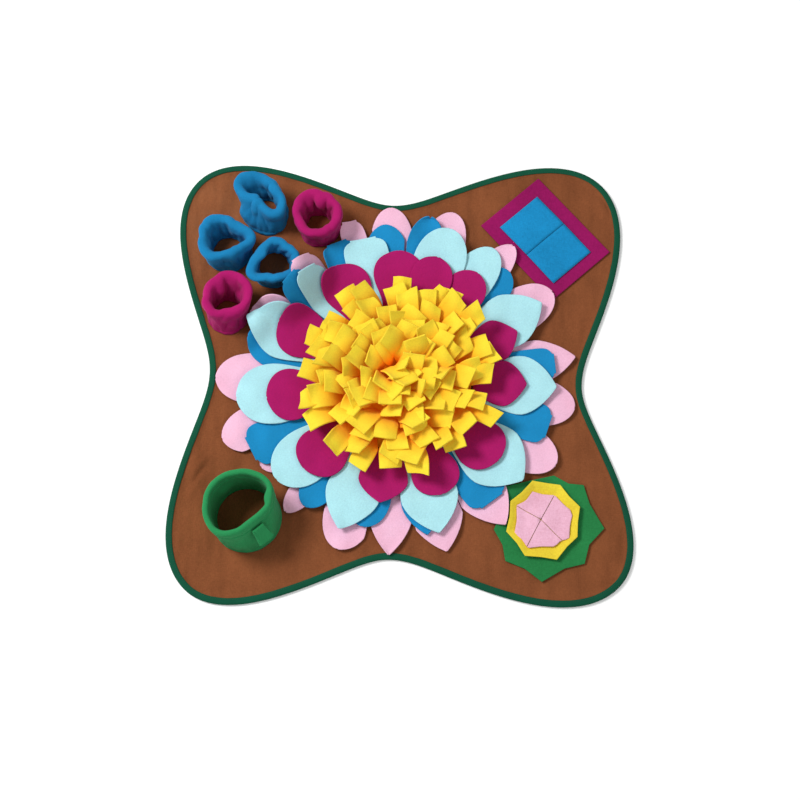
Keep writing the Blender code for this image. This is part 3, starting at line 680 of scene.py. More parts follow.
def grid_faces(rows, columns, first=0, closed=False):
    """Quads of a grid of points, rows outwards and columns anticlockwise."""
    faces = []
    for i in range(rows - 1):
        for j in range(columns if closed else columns - 1):
            a = first + i * columns
            b = a + columns
            k = (j + 1) % columns
            faces.append([a + j, b + j, b + k, a + k])
    return faces


def ring_faces(sections, size):
    """Quads of a closed ring of closed sections, each of the same number of points."""
    faces = []
    for i in range(sections):
        j = (i + 1) % sections
        for k in range(size):
            m = (k + 1) % size
            faces.append([i * size + m, i * size + k, j * size + k, j * size + m])
    return faces


def set_down(piece, node, flat, area=None):
    """The piece stands for its CAD node and rides with the mat."""
    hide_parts(node)
    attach(piece, "root")


# --- the mat -------------------------------------------------------------------------------------


def outline_reach(angle):
    """The mat's reach in a direction, swinging between its waists and lobes."""
    for index, side in enumerate(SIDES):
        after = SIDES[(index + 1) % len(SIDES)]
        width = (after.angle - side.angle) % 360
        share = ((angle - side.angle) % 360) / width
        if share < 1:
            half = math.pi * share
            swing = (side.reach + after.reach) / 2 - (after.reach - side.reach) / 2 * math.cos(half)
            swing += LOBE_FULLNESS * (math.cos(2 * half) - 1)
            tip = math.cos(half) - math.cos(3 * half)
            return swing + math.copysign(LOBE_POINT, after.reach - side.reach) * tip
    raise ValueError(angle)


def mat_outline(steps):
    """The outline's points, evenly spaced along it, centred on the origin."""
    raw = np.array([polar(a, outline_reach(a))[:2] for a in np.arange(0, 360, 0.5)])
    closed = np.vstack([raw, raw[:1]])
    along = np.concatenate([[0], np.cumsum(np.linalg.norm(np.diff(closed, axis=0), axis=1))])
    at = np.linspace(0, along[-1], steps, endpoint=False)
    outline = np.stack([np.interp(at, along, closed[:, k]) for k in (0, 1)], axis=1)
    return outline - (raw.min(0) + raw.max(0)) / 2


def inward_normals(points):
    along = np.roll(points, -1, axis=0) - np.roll(points, 1, axis=0)
    along /= np.linalg.norm(along, axis=1)[:, None]
    return np.stack([-along[:, 1], along[:, 0]], axis=1)


def crease_height(x, y):
    """How far the felt stands off the floor at a point, from the soft ridges."""
    height = 0.0
    for crease in CREASES:
        offset = Vector((x - crease.x, y - crease.y, 0.0))
        along = offset.dot(polar(crease.angle, 1.0)) / (crease.length / 2)
        across = offset.dot(polar(crease.angle + 90, 1.0)) / (crease.width / 2)
        height += crease.height * smooth(1 - abs(along)) * smooth(1 - abs(across))
    return height


def make_base(material):
    """The felt sheet, flat on the floor but for its ridges, up onto the tape at its edge."""
    outline = mat_outline(BASE_STEPS)
    inward = inward_normals(outline)
    edge = outline + inward * (TAPE + GAP)
    rings = [edge * share for share in np.linspace(*BASE_RINGS)]
    depths = (*BASE_RIM_DEPTHS, TAPE_WIDTH + GAP, BASE_TUCK)
    rings += [outline + inward * depth for depth in depths] + [edge]
    on_tape = len(rings) - 3
    points, worn = [(0.0, 0.0, FELT / 2)], [0.0]
    for index, ring in enumerate(rings):
        for x, y in ring:
            worn.append(smooth(1 - math.hypot(x - WORN_MIDDLE[0], y - WORN_MIDDLE[1]) / WORN_REACH))
            lift = crease_height(x, y) if index < on_tape else TAPE + GAP
            if index == on_tape - 1:
                lift = (TAPE + GAP) * RAMP_SHARE
            points.append((x, y, FELT / 2 + lift))
    faces = [[0, 1 + i, 1 + (i + 1) % BASE_STEPS] for i in range(BASE_STEPS)]
    faces += grid_faces(len(rings), BASE_STEPS, 1, closed=True)
    piece = add_mesh("base_cloth", points, faces, material, worn)
    thicken(piece, FELT)
    set_down(piece, "base_felt", BASE_FLAT, BASE_AREA)


def make_binding(material, thread):
    """The tape folded over the edge with a soft round back, and the row of stitches that holds it."""
    outline = mat_outline(TAPE_STEPS)
    inward = inward_normals(outline)
    height = 2 * TAPE + 2 * GAP + FELT
    profile = [(TAPE_WIDTH, 0.0), (6.0, 0.0), (3.6, 0.0), (1.9, 0.25), (0.8, 0.9), (0.2, 1.9)]
    profile += [(0.0, height / 2), (0.2, height - 1.9), (0.8, height - 0.9), (1.9, height - 0.25)]
    profile += [(3.6, height), (6.0, height - 0.05), (TAPE_WIDTH - 0.4, height - 0.12)]
    profile += [(TAPE_WIDTH, height - 0.45), (TAPE_WIDTH - 0.2, height - TAPE)]
    profile += [(6.0, height - TAPE), (2.6, height - TAPE), (TAPE, height - 1.9)]
    profile += [(TAPE, 1.9), (2.6, TAPE), (6.0, TAPE), (TAPE_WIDTH, TAPE)]
    points = []
    for point, towards in zip(outline, inward):
        ripple = TAPE_RIPPLE * noise.noise(Vector((*point, 0.0)) * 0.09)
        for depth, z in profile:
            inset = ripple if depth > 3 else 0.0
            points.append((*(point + towards * (depth + inset)), z))
    piece = add_mesh("binding_tape", points, ring_faces(TAPE_STEPS, len(profile)), material)
    set_down(piece, "binding", TAPE_FLAT)
    outline = mat_outline(SEWING_STEPS)
    row = outline + inward_normals(outline) * (TAPE_WIDTH - STITCH_INSET)
    line = [Vector((*spot, height + 0.02)) for spot in row]
    stitches("binding_stitches", line, True, thread, "dark_green_tape", *BINDING_STITCH)


def stitches(name, line, closed, material, slot, pitch, thick):
    """A row of short stitches along a line of points, each a thread that sinks in at both ends."""
    points, faces = [], []
    ring = line + line[:1] if closed else line
    reach = [0.0]
    for a, b in zip(ring, ring[1:]):
        reach.append(reach[-1] + (b - a).length)
    count = max(2, int(reach[-1] / pitch))
    coordinates = np.array(ring)

    def place(distance):
        return Vector([float(np.interp(distance, reach, coordinates[:, k])) for k in range(3)])

    for number in range(count):
        middle = (number + 0.5) * reach[-1] / count
        start, end = place(middle - pitch * STITCH_REACH), place(middle + pitch * STITCH_REACH)
        along = (end - start).normalized()
        across = Vector((0, 0, 1)).cross(along).normalized()
        first = len(points)
        for share, size in STITCH_TAPER:
            centre = start.lerp(end, share) - Vector((0, 0, thick * STITCH_SINK))
            for k in range(STITCH_SIDES):
                turn = math.radians(360 / STITCH_SIDES * k)
                side = across * math.cos(turn) * thick / 2 * size
                points.append(centre + side + Vector((0, 0, math.sin(turn) * thick / 2 * size)))
        faces += grid_faces(len(STITCH_TAPER), STITCH_SIDES, first, closed=True)
        last = len(points) - STITCH_SIDES
        faces += [list(range(first, first + STITCH_SIDES)), list(range(last, len(points)))[::-1]]
    piece = add_mesh(name, points, faces, material)
    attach(piece, "root")


# --- the cups ------------------------------------------------------------------------------------


def between(a, b, c, d, t):
    """A smooth curve through four values in turn, at a share t of the way from b to c."""
    bend, turn = a - b * 2.5 + c * 2 - d / 2, (b - c) * 1.5 + (d - a) / 2
    return b + (c - a) * (t / 2) + bend * (t * t) + turn * (t**3)


def rim_reach(cup, angle):
    """The rim's reach in a direction: a smooth periodic curve through the table's values."""
    place = (angle % 360) / (360 / len(cup.reaches))
    index = int(place)
    values = [cup.reaches[(index + k) % len(cup.reaches)] for k in (-1, 0, 1, 2)]
    return between(*values, place - index)


def cup_wall(cup, height, offset, columns, push=None):
    """The wall's closed curve at a height, moved out by offset from the middle of its thickness."""
    share = (max(height, 0.0) / cup.height) ** CUP_LEAN
    middle = np.array([cup.x + cup.shift_x * share, cup.y + cup.shift_y * share])
    angles = [360 * i / columns for i in range(columns)]
    reaches = [cup.foot + (rim_reach(cup, a) - cup.foot) * share for a in angles]
    if push:
        reaches = [r - push(a) for a, r in zip(angles, reaches)]
    curve = np.array([middle + np.array(polar(a, r)[:2]) for a, r in zip(angles, reaches)])
    return curve - inward_normals(curve) * np.reshape(offset, (-1, 1))


def cup_noise(cup, angle, height, scale, stretch):
    """Noise on a cup's wall. A small stretch makes its waves run up the wall."""
    spot = Vector((cup.x, cup.y, 0.0)) + polar(angle, cup.foot) + Vector((0, 0, height * stretch))
    return noise.noise(spot * scale)


def fold_push(cup, height, inner):
    """How far the wall is pushed in at a height, as a function of the direction."""
    slack = math.sin(math.pi * min(1.0, height / cup.height)) * 0.7 + 0.3
    slack *= STIFFNESS.get(cup.name, 1.0)
    folds = [fold for fold in FOLDS if fold.cup == cup.name]

    def push(angle):
        total = 0.0
        for fold in folds:
            away = abs((angle - fold.angle + 180) % 360 - 180) / (fold.width / 2)
            high = abs(height - fold.height) / fold.tall
            part = 1.0 if inner or fold.push < 0 else OUTER_SHARE
            total += fold.push * smooth(1 - away) * smooth(1 - high) * part
        bulge = slack * LINING_BULGE if inner else 0.0
        total += slack * WALL_SLACK * cup_noise(cup, angle, height, *SLACK_WAVES) + bulge
        total += slack * WALL_CREASE * cup_noise(cup, angle, height, *CREASE_WAVES)
        return total

    return push


def cup_profile(cup):
    """Heights and half thicknesses up the wall, from the hem at its foot to the top of its rim."""
    foot_z = FELT + GAP
    roll = cup.roll * (1.0 if cup.name in SEAMS else ROLL_SWELL)
    roll_z = cup.height - roll
    seam = cup.height - SEAMS.get(cup.name, 0.0)
    heights = [*np.linspace(foot_z, roll_z, 20), HEM_HEIGHT + 0.5, HEM_HEIGHT + 1.5]
    if cup.name in SEAMS:
        heights += [seam - 2.0, seam - 1.0, seam, seam + 1.0, seam + 2.0]
    profile = []
    for height in sorted(heights):
        share = (height - foot_z) / (roll_z - foot_z)
        swell = smooth((share - ROLL_START) / ROLL_GROWTH)
        half = cup.wall * (1 + WALL_GROWTH * share) * (1 - swell) + roll * swell
        half += HEM_SWELL * smooth((HEM_HEIGHT + 1.5 - height) / 1.5)
        if cup.name in SEAMS:
            half -= SEAM_DEPTH * smooth(1 - abs(height - seam) / 2.0)
        profile.append((height, half))
    for turn in (18, 36, 54, 72, 90):
        turn = math.radians(turn)
        profile.append((roll_z + roll * math.sin(turn), roll * math.cos(turn)))
    return profile


def make_cup(cup, material):
    """A doubled fleece tube with a fat folded rim, a hem at its foot and slack folds in its wall."""
    profile = cup_profile(cup)
    sides = profile + [(z, -half) for z, half in reversed(profile[:-1])]
    angles = [360 * i / CUP_COLUMNS for i in range(CUP_COLUMNS)]
    soft = STIFFNESS.get(cup.name, 1.0)
    plump = np.array([1 + soft * RIM_PLUMP * cup_noise(cup, a, 0.0, *PLUMP_WAVES) for a in angles])
    sag = [soft * RIM_SAG * cup_noise(cup, a, 90.0, *SAG_WAVES) for a in angles]
    sections = []
    for z, half in sides:
        sections.append(cup_wall(cup, z, half * plump, CUP_COLUMNS, fold_push(cup, z, half <= 0)))
    points = []
    for i in range(CUP_COLUMNS):
        for (z, _), curve in zip(sides, sections):
            points.append((*curve[i], z + sag[i] * (z / cup.height) ** 3))
    faces = [face[::-1] for face in ring_faces(CUP_COLUMNS, len(sections))]
    piece = add_mesh(f"{cup.name}_cloth", points, faces, material)
    around = 2 * math.pi * cup.foot * MM
    set_down(piece, cup.name, (around, cup.height * MM))


def outer_wall(cup, height, out):
    """The closed curve at a height that stands off the cup's outer side by out."""
    foot_z, half, rim_z = FELT + GAP, cup.height * 0.5, cup.height - cup.roll
    middle = cup_wall(cup, half, cup.wall * (1 + WALL_GROWTH) + out, CUP_STEPS)
    if height >= half:
        rim = cup_wall(cup, rim_z, cup.roll + out, CUP_STEPS)
        return middle + (rim - middle) * (height - half) / (rim_z - half)
    foot = cup_wall(cup, foot_z, cup.wall + out, CUP_STEPS)
    return middle + (foot - middle) * (half - height) / (half - foot_z)


def make_tab(cup, material):
    """The small doubled tab, sewn on the green cup's wall at its top and standing off lower down."""
    points = []
    for row in range(TAB_ROWS):
        share = row / (TAB_ROWS - 1)
        height = TAB_HEIGHTS[0] + (TAB_HEIGHTS[1] - TAB_HEIGHTS[0]) * share
        curve = outer_wall(cup, height, TAB_SEAT + TAB_STAND * share)
        for column in range(TAB_ROWS):
            place = TAB_COLUMNS[0] + (TAB_COLUMNS[1] - TAB_COLUMNS[0]) * column / (TAB_ROWS - 1)
            first = int(place)
            x, y = curve[first] + (curve[(first + 1) % CUP_STEPS] - curve[first]) * (place - first)
            points.append((x, y, height))
    piece = add_mesh("green_cup_tab_cloth", points, grid_faces(TAB_ROWS, TAB_ROWS), material)
    thicken(piece, TAB_FELT)
    rounded = piece.modifiers.new("rounding", "SUBSURF")
    rounded.levels = rounded.render_levels = 2
    set_down(piece, "green_cup_tab", TAB_FLAT)


# --- the petals ----------------------------------------------------------------------------------


def climb_height(level, x, y):
    """How far petals are pushed up at a point by the cups they meet."""
    height = 0.0
    for climb in CLIMBS:
        cup = next(c for c in CUPS if c.name == climb.cup)
        away = math.hypot(x - cup.x, y - cup.y) - cup.foot - level * CLIMB_STEP
        height = max(height, climb.height * smooth((climb.start - away) / (climb.start - climb.full)))
    return height


def petal_height(lift, level, x, y):
    """The middle of a petal's thickness at a point, rising outwards from its seat on those below."""
    slope = lift / (LIFT_END - ROOT_REACH)
    root = FELT + GAP + PETAL_FELT / 2 + level * (PETAL_FELT + GAP)
    reach = math.hypot(x - FLOWER.x, y - FLOWER.y)
    return root + slope * (reach - ROOT_REACH) + climb_height(level, x, y)


def petal_width(petal, share):
    """Half the petal's width at a share of its length."""
    if share < WIDEST:
        return petal.width / 2 * (ROOT_SHARE + (1 - ROOT_SHARE) * smooth(share / WIDEST))
    tip = TIPS[petal.tip]
    far = min(1.0, (share - WIDEST) / (1 - WIDEST))
    return petal.width / 2 * max(tip.left, (1 - far**tip.along) ** tip.across)


def petal_slack(petal, reach, x, y):
    """How far loose cloth stands off: slow waves that all tiers share, and some of the petal's own."""
    away = (x - FLOWER.x, y - FLOWER.y)
    out = smooth((reach - BAND_REACH) / 60)
    turn = math.atan2(away[1], away[0])
    around = (math.cos(turn) * ROOT_WAVES, math.sin(turn) * ROOT_WAVES, 3.0)
    creases = noise.noise(Vector(around)) * ROOT_CREASE
    shared = noise.noise(Vector((x, y, 0.0)) * PETAL_WAVES) * PETAL_SLACK
    seed = petal.angle + petal.level * 9.0
    own = noise.noise(Vector((x * OWN_WAVES, y * OWN_WAVES, seed))) * OWN_SLACK
    return out * (shared + own + creases * (1 - smooth((reach - 140) / 50)))


def petal_points(petal, lift, root_reach, sides=None):
    """The petal's points in rows outwards. sides gives the directions of its limits in a strip."""
    forward = polar(petal.angle, 1.0)
    left = polar(petal.angle + 90, 1.0)
    rows = []
    for number in range(PETAL_ROWS):
        share = 1 - (1 - number / (PETAL_ROWS - 1)) ** PETAL_CROWDING
        reach = root_reach + (petal.reach - root_reach) * share
        widths = [petal_width(petal, share)] * 2
        if sides:
            limits = [math.radians(abs(side - petal.angle)) for side in sides]
            widths = [min(w, reach * math.tan(m) - STRIP_SETBACK) for w, m in zip(widths, limits)]
        row = []
        for column in spread(PETAL_COLUMNS):
            place = FLOWER + forward * reach + left * (column * widths[column > 0])
            bend = smooth((reach - BAND_REACH) / (LIFT_END - BAND_REACH))
            z = petal_height(lift, petal.level, place.x, place.y)
            z += bend * (petal.edge * column * column + petal.curl * share**3)
            z += petal_slack(petal, reach, place.x, place.y)
            row.append((place.x, place.y, z))
        rows.append(row)
    return rows


def make_petal(name, petal, lift, material, node):
    rows = petal_points(petal, lift, ROOT_REACH)
    points = [p for row in rows for p in row]
    piece = add_mesh(name, points, grid_faces(PETAL_ROWS, PETAL_COLUMNS), material)
    thicken(piece, PETAL_FELT)
    width, length = petal.width * MM, (petal.reach - ROOT_REACH) * MM
    flat = (width, length * PETAL_TAKE_UP)
    set_down(piece, node, flat, area=width * length * PETAL_FULLNESS)


def tier_limits(petals):
    """For each petal, the directions half way to its neighbours, right and left."""
    order = sorted(range(len(petals)), key=lambda k: petals[k].angle % 360)
    limits = {}
    for place, k in enumerate(order):
        here = petals[k].angle
        right = (here - petals[order[place - 1]].angle) % 360
        left = (petals[order[(place + 1) % len(order)]].angle - here) % 360
        limits[k] = (here - right / 2, here + left / 2)
    return [limits[k] for k in range(len(petals))]


def rows_on_band(petal, lift, right, left):
    """A strip's rows at one petal, between two directions: its part of the band, then the petal."""
    band = []
    for reach in (ROOT_REACH, (ROOT_REACH + BAND_REACH) / 2, BAND_REACH):
        row = []
        for column in spread(PETAL_COLUMNS):
            side = left - petal.angle if column > 0 else petal.angle - right
            place = FLOWER + polar(petal.angle + column * side, reach)
            row.append((place.x, place.y, petal_height(lift, petal.level, place.x, place.y)))
        band.append(row)
    return band + petal_points(petal, lift, BAND_REACH, (right, left))[1:]


def make_petal_strips(colour, petals, material):
    """The lower tiers: strips of three petals on a narrow band that is sewn down round the pile."""
    limits = tier_limits(petals)
    for start in range(0, len(petals), PETALS_A_STRIP):
        points, faces, numbers = [], [], {}
        area = 0.0
        for k in range(start, start + PETALS_A_STRIP):
            petal = petals[k]
            right, left = limits[k]
            right += STRIP_END if k == start + PETALS_A_STRIP - 1 else 0.0
            left -= STRIP_END if k == start else 0.0
            rows = rows_on_band(petal, LIFTS[colour], right, left)
            ids = []
            for spot in (spot for row in rows for spot in row):
                key = tuple(round(v, 1) for v in spot)
                if key not in numbers:
                    numbers[key] = len(points)
                    points.append(spot)
                ids.append(numbers[key])
            faces += [[ids[v] for v in quad] for quad in grid_faces(len(rows), PETAL_COLUMNS)]
            area += petal.width * (petal.reach - BAND_REACH) * PETAL_FULLNESS
            area += math.radians(left - right) * (BAND_REACH**2 - ROOT_REACH**2) / 2
        number = start // PETALS_A_STRIP + 1
        piece = add_mesh(f"petals_{colour}_{number}", points, faces, material)
        thicken(piece, PETAL_FELT)
        flat = (STRIP_BOX * area / STRIP_DEPTH * MM, STRIP_DEPTH * MM)
        set_down(piece, f"petal_strip_{colour}_{number}", flat, area=area * MM * MM)


# --- the pile ------------------------------------------------------------------------------------

Strip = namedtuple("Strip", "x y azimuth start_tilt end_tilt length width turn")


def strip_half(width, share):
    """Half a strip's width at a share of its length, as it widens from its pinched root."""
    return STRIP_ROOT_WIDTH / 2 + (width - STRIP_ROOT_WIDTH) / 2 * smooth(share / STRIP_WIDENING)


def strip_rings(strip, thickness):
    """Rings of four points along a strip, from its pinched root to its square-cut end."""
    lean = polar(strip.azimuth, 1.0)
    side = polar(strip.azimuth + 90 + strip.turn, 1.0)
    place = Vector((strip.x, strip.y, FELT + GAP + BACKING_FELT))

    def heading(share):
        """The way the strip points at a share of its length."""
        tilt = math.radians(strip.start_tilt + (strip.end_tilt - strip.start_tilt) * share**STRIP_BEND)
        return lean * math.sin(tilt) + Vector((0, 0, math.cos(tilt)))

    rings = []
    before = 0.0
    for share in STRIP_ROWS:
        place = place + heading((share + before) / 2) * strip.length * (share - before)
        before = share
        along = heading(share)
        flat = (side - along * side.dot(along)).normalized()
        if share == 0.0:
            flat = polar(strip.azimuth + 90, 1.0)
            face = polar(strip.azimuth, 1.0)
        else:
            face = flat.cross(along).normalized()
        a, b = face * thickness / 2, flat * strip_half(strip.width, share)
        rings.append([place - a - b, place + a - b, place + a + b, place - a + b])
    return rings


def strip_tree(rings):
    points = [p for ring in rings for p in ring]
    faces = [[0, 1, 2, 3]]
    for i in range(len(rings) - 1):
        for k in range(4):
            m = (k + 1) % 4
            faces.append([4 * i + k, 4 * i + m, 4 * i + 4 + m, 4 * i + 4 + k])
    last = 4 * (len(rings) - 1)
    faces.append([last + 3, last + 2, last + 1, last])
    return BVHTree.FromPolygons(points, faces)


def petal_guard():
    """A surface over the petals' roots that no strip may cross."""
    top = max(petal.level for petal in MAGENTA)
    profile = [(BACKING_REACH, FELT + BACKING_FELT)]
    for reach in (BACKING_REACH, GUARD_REACH):
        place = FLOWER + polar(0, reach)
        profile.append((reach, petal_height(LIFTS["magenta"], top, place.x, place.y) + PETAL_FELT))
    turns = [polar(360 * k / GUARD_STEPS, 1.0) for k in range(GUARD_STEPS)]
    points = [FLOWER + turn * reach + Vector((0, 0, z)) for turn in turns for reach, z in profile]
    faces = []
    for k in range(GUARD_STEPS):
        a, b = 3 * k, 3 * ((k + 1) % GUARD_STEPS)
        faces += [[a, b, b + 1, a + 1], [a + 1, b + 1, b + 2, a + 2]]
    return BVHTree.FromPolygons(points, faces)


def plan_strips():
    """Places the strips one by one, each leaning its own way without meeting those before it."""
    draw = random.Random(PILE_SEED)
    planned = []
    trees = [petal_guard()]
    for number in range(STRIP_COUNT):
        share = math.sqrt((number + 0.5) / STRIP_COUNT)
        spot = FLOWER + polar(math.degrees(number * GOLDEN_ANGLE), PILE_REACH * share)
        outward = math.degrees(number * GOLDEN_ANGLE)
        for attempt in range(STRIP_TRIES):
            ease = attempt / STRIP_TRIES
            freedom = (1 - ease) * (180 - 120 * share) + ease * 15
            strip = Strip(
                spot.x,
                spot.y,
                outward + draw.uniform(-freedom, freedom),
                share * share * 38 + draw.uniform(-4, 8),
                (84 + 22 * share + draw.uniform(-24, 16)) * (1 - 0.3 * ease),
                57 + 11 * share + draw.uniform(-8, 6),
                STRIP_WIDTH * draw.uniform(0.86, 1.04) * (1 - 0.3 * ease),
                draw.uniform(-28, 28) * (1 - ease),
            )
            tree = strip_tree(strip_rings(strip, STRIP_FLEECE + STRIP_CLEARANCE))
            if not any(tree.overlap(other) for other in trees):
                planned.append(strip)
                trees.append(tree)
                break
    return planned


def core_tree(strip):
    """A strip's narrow core, which other strips' cores may not cross."""
    return strip_tree(strip_rings(strip._replace(width=strip.width * FILLER_SQUEEZE), STRIP_FLEECE))


def plan_fillers(planned):
    """Further strips in the gaps that bend back over the middle and may lie against the planned ones."""
    draw = random.Random(PILE_SEED + 2)
    trees = [core_tree(strip) for strip in planned]
    fillers = []
    for _ in range(FILLER_TRIES):
        outward = draw.uniform(0, 360)
        spot = FLOWER + polar(outward, PILE_REACH * FILLER_SPREAD * draw.random() ** FILLER_CROWDING)
        strip = Strip(
            spot.x,
            spot.y,
            outward + 180 + draw.uniform(-100, 100),
            draw.uniform(0, 14),
            draw.uniform(60, 110),
            draw.uniform(56, 68),
            STRIP_WIDTH * draw.uniform(0.75, 1.0),
            draw.uniform(-40, 40),
        )
        tree = core_tree(strip)
        if not any(tree.overlap(other) for other in trees):
            fillers.append(strip)
            trees.append(tree)
    return fillers


def clear_of_petals(spot):
    """A ribbon's point, kept above the petals that it overhangs."""
    if math.hypot(spot.x - FLOWER.x, spot.y - FLOWER.y) > BACKING_REACH:
        top = max(petal.level for petal in MAGENTA)
        spot.z = max(spot.z, petal_height(LIFTS["magenta"], top, spot.x, spot.y) + PETAL_SLACK)
    return spot


def ribbon_rows(strip, draw):
    """A strip's fine points: pinched at its root, folded along its middle, crumpled towards its end."""
    rings = strip_rings(strip, STRIP_FLEECE)
    centres = [sum(ring, Vector()) / 4 for ring in rings]
    sides = [(ring[2] + ring[3] - ring[0] - ring[1]).normalized() for ring in rings]
    backs = [(ring[1] - ring[0]).normalized() for ring in rings]
    onwards = (centres[-1] - centres[-2]).normalized()
    fold = draw.choice((-1, 1)) * draw.uniform(*RIBBON_FOLD)
    ridge = draw.uniform(-0.35, 0.35)
    skew = draw.uniform(-RIBBON_SKEW, RIBBON_SKEW)
    seed = draw.uniform(0, 50)
    twist = math.radians(draw.uniform(-RIBBON_TWIST, RIBBON_TWIST))
    veer = draw.uniform(-RIBBON_VEER, RIBBON_VEER)
    rows = []
    for number in range(RIBBON_ROWS):
        share = math.sin(math.pi / 2 * number / (RIBBON_ROWS - 1)) ** 0.9
        place = spline(centres, share)
        across = spline(sides, share).normalized()
        out = spline(backs, share).normalized()
        place += across * (veer * share * share)
        turn = twist * share * share
        side = across * math.cos(turn) + out * math.sin(turn)
        back = out * math.cos(turn) - across * math.sin(turn)
        half = strip_half(strip.width * RIBBON_SPREAD, share)
        row = []
        for column in spread(RIBBON_COLUMNS):
            dip = fold * (math.hypot(column - ridge, 0.25) - 0.5) * smooth(share * 1.5)
            crumple = noise.noise(Vector((column * RIBBON_WAVES[0], share * RIBBON_WAVES[1], seed)))
            crumple *= RIBBON_CRUMPLE * smooth(share * 1.3)
            spot = place + side * (half * column) + back * (dip + crumple)
            row.append(clear_of_petals(spot + onwards * (skew * column * share**3)))
        rows.append(row)
    return rows


def spline(values, share):
    """A smooth curve through a strip's four rings, at a share of its length."""
    place = share * (len(values) - 1)
    index = min(int(place), len(values) - 2)
    b, c = values[index], values[index + 1]
    a = values[index - 1] if index else b * 2 - c
    d = values[index + 2] if index + 2 < len(values) else c * 2 - b
    return between(a, b, c, d, place - index)


def make_pile(material):
    """All the strips and the round backing they are sewn into."""
    draw = random.Random(PILE_SEED + 1)
    points, faces, marks = [], [], []
    area = math.pi * BACKING_REACH**2
    planned = plan_strips()
    for strip in planned + plan_fillers(planned):
        faces += grid_faces(RIBBON_ROWS, RIBBON_COLUMNS, len(points))
        for number, row in enumerate(ribbon_rows(strip, draw)):
            points += row
            marks += [number / (RIBBON_ROWS - 1)] * RIBBON_COLUMNS
        area += strip.length * strip.width * RIBBON_FULLNESS
    first = len(points)
    middle = FLOWER + Vector((0, 0, FELT + GAP + BACKING_FELT / 2))
    points.append(middle)
    for reach in (BACKING_INNER, BACKING_REACH):
        points += [middle + polar(360 * k / BACKING_STEPS, reach) for k in range(BACKING_STEPS)]
    marks += [0.0] * (len(points) - first)
    faces += [[first, first + 1 + k, first + 1 + (k + 1) % BACKING_STEPS] for k in range(BACKING_STEPS)]
    faces += grid_faces(2, BACKING_STEPS, first + 1, closed=True)
    piece = add_mesh("pile_fleece", points, faces, material, marks)
    thicken(piece, STRIP_FLEECE)
    area *= MM * MM
    flat = (PILE_WIDTH, area / (PILE_WIDTH * PILE_FILL))
    set_down(piece, "pile_yellow", flat, area=area)


# --- the pockets ---------------------------------------------------------------------------------


def cut_patch(name, corners, bottom, thickness, material, curl, slack=0.0):
    """A patch of felt cut to a polygon, meshed from its middle outwards. curl lifts its edge."""
    middle = sum((Vector((*c, 0.0)) for c in corners), Vector()) / len(corners)
    edge = []
    for a, b in zip(corners, corners[1:] + corners[:1]):
        a, b = Vector((*a, 0.0)), Vector((*b, 0.0))
        steps = max(1, round((b - a).length / PATCH_STEP))
        edge += [a.lerp(b, k / steps) for k in range(steps)]
    count = len(edge)
    z = bottom + thickness / 2
    points = [(middle.x, middle.y, z)]
    for ring in range(1, PATCH_RINGS + 1):
        share = 1 - (1 - ring / PATCH_RINGS) ** 2
        rise = curl * smooth((share - CURL_START) / (1 - CURL_START))
        for p in edge:
            spot = middle.lerp(p, share)
            points.append((spot.x, spot.y, z + rise + slack * noise.noise(spot * 0.04)))
    faces = [[0, 1 + k, 1 + (k + 1) % count] for k in range(count)]
    faces += grid_faces(PATCH_RINGS, count, 1, closed=True)
    piece = add_mesh(name, points, faces, material)
    thicken(piece, thickness)
    return piece


def polygon_area(corners):
    total = 0.0
    for a, b in zip(corners, corners[1:] + corners[:1]):
        total += a[0] * b[1] - a[1] * b[0]
    return total / 2


def square_corners(middle, size, angle):
    along, across = polar(angle, size[0] / 2), polar(angle + 90, size[1] / 2)
    centre = Vector((*middle, 0.0))
    signs = ((-1, -1), (1, -1), (1, 1), (-1, 1))
    return [(centre + along * a + across * b)[:2] for a, b in signs]


def flap_spot(sign, column, share, level, edge=0.0):
    """A point of a blue flap. share runs from its sewn end to the slit, and column across it."""
    away = FLAP_SLIT / 2 + (FLAP_SIZE[0] - edge) * (1 - share)
    place = Vector((*FLAP_MIDDLE, 0.0)) + polar(SQUARE_ANGLE, sign * away)
    place += polar(SQUARE_ANGLE + 90, column * FLAP_SIZE[1] / 2)
    rise = FLAP_RISE * smooth(share) * (1 - FLAP_CROWN * column * column)
    return Vector((place.x, place.y, level + rise))


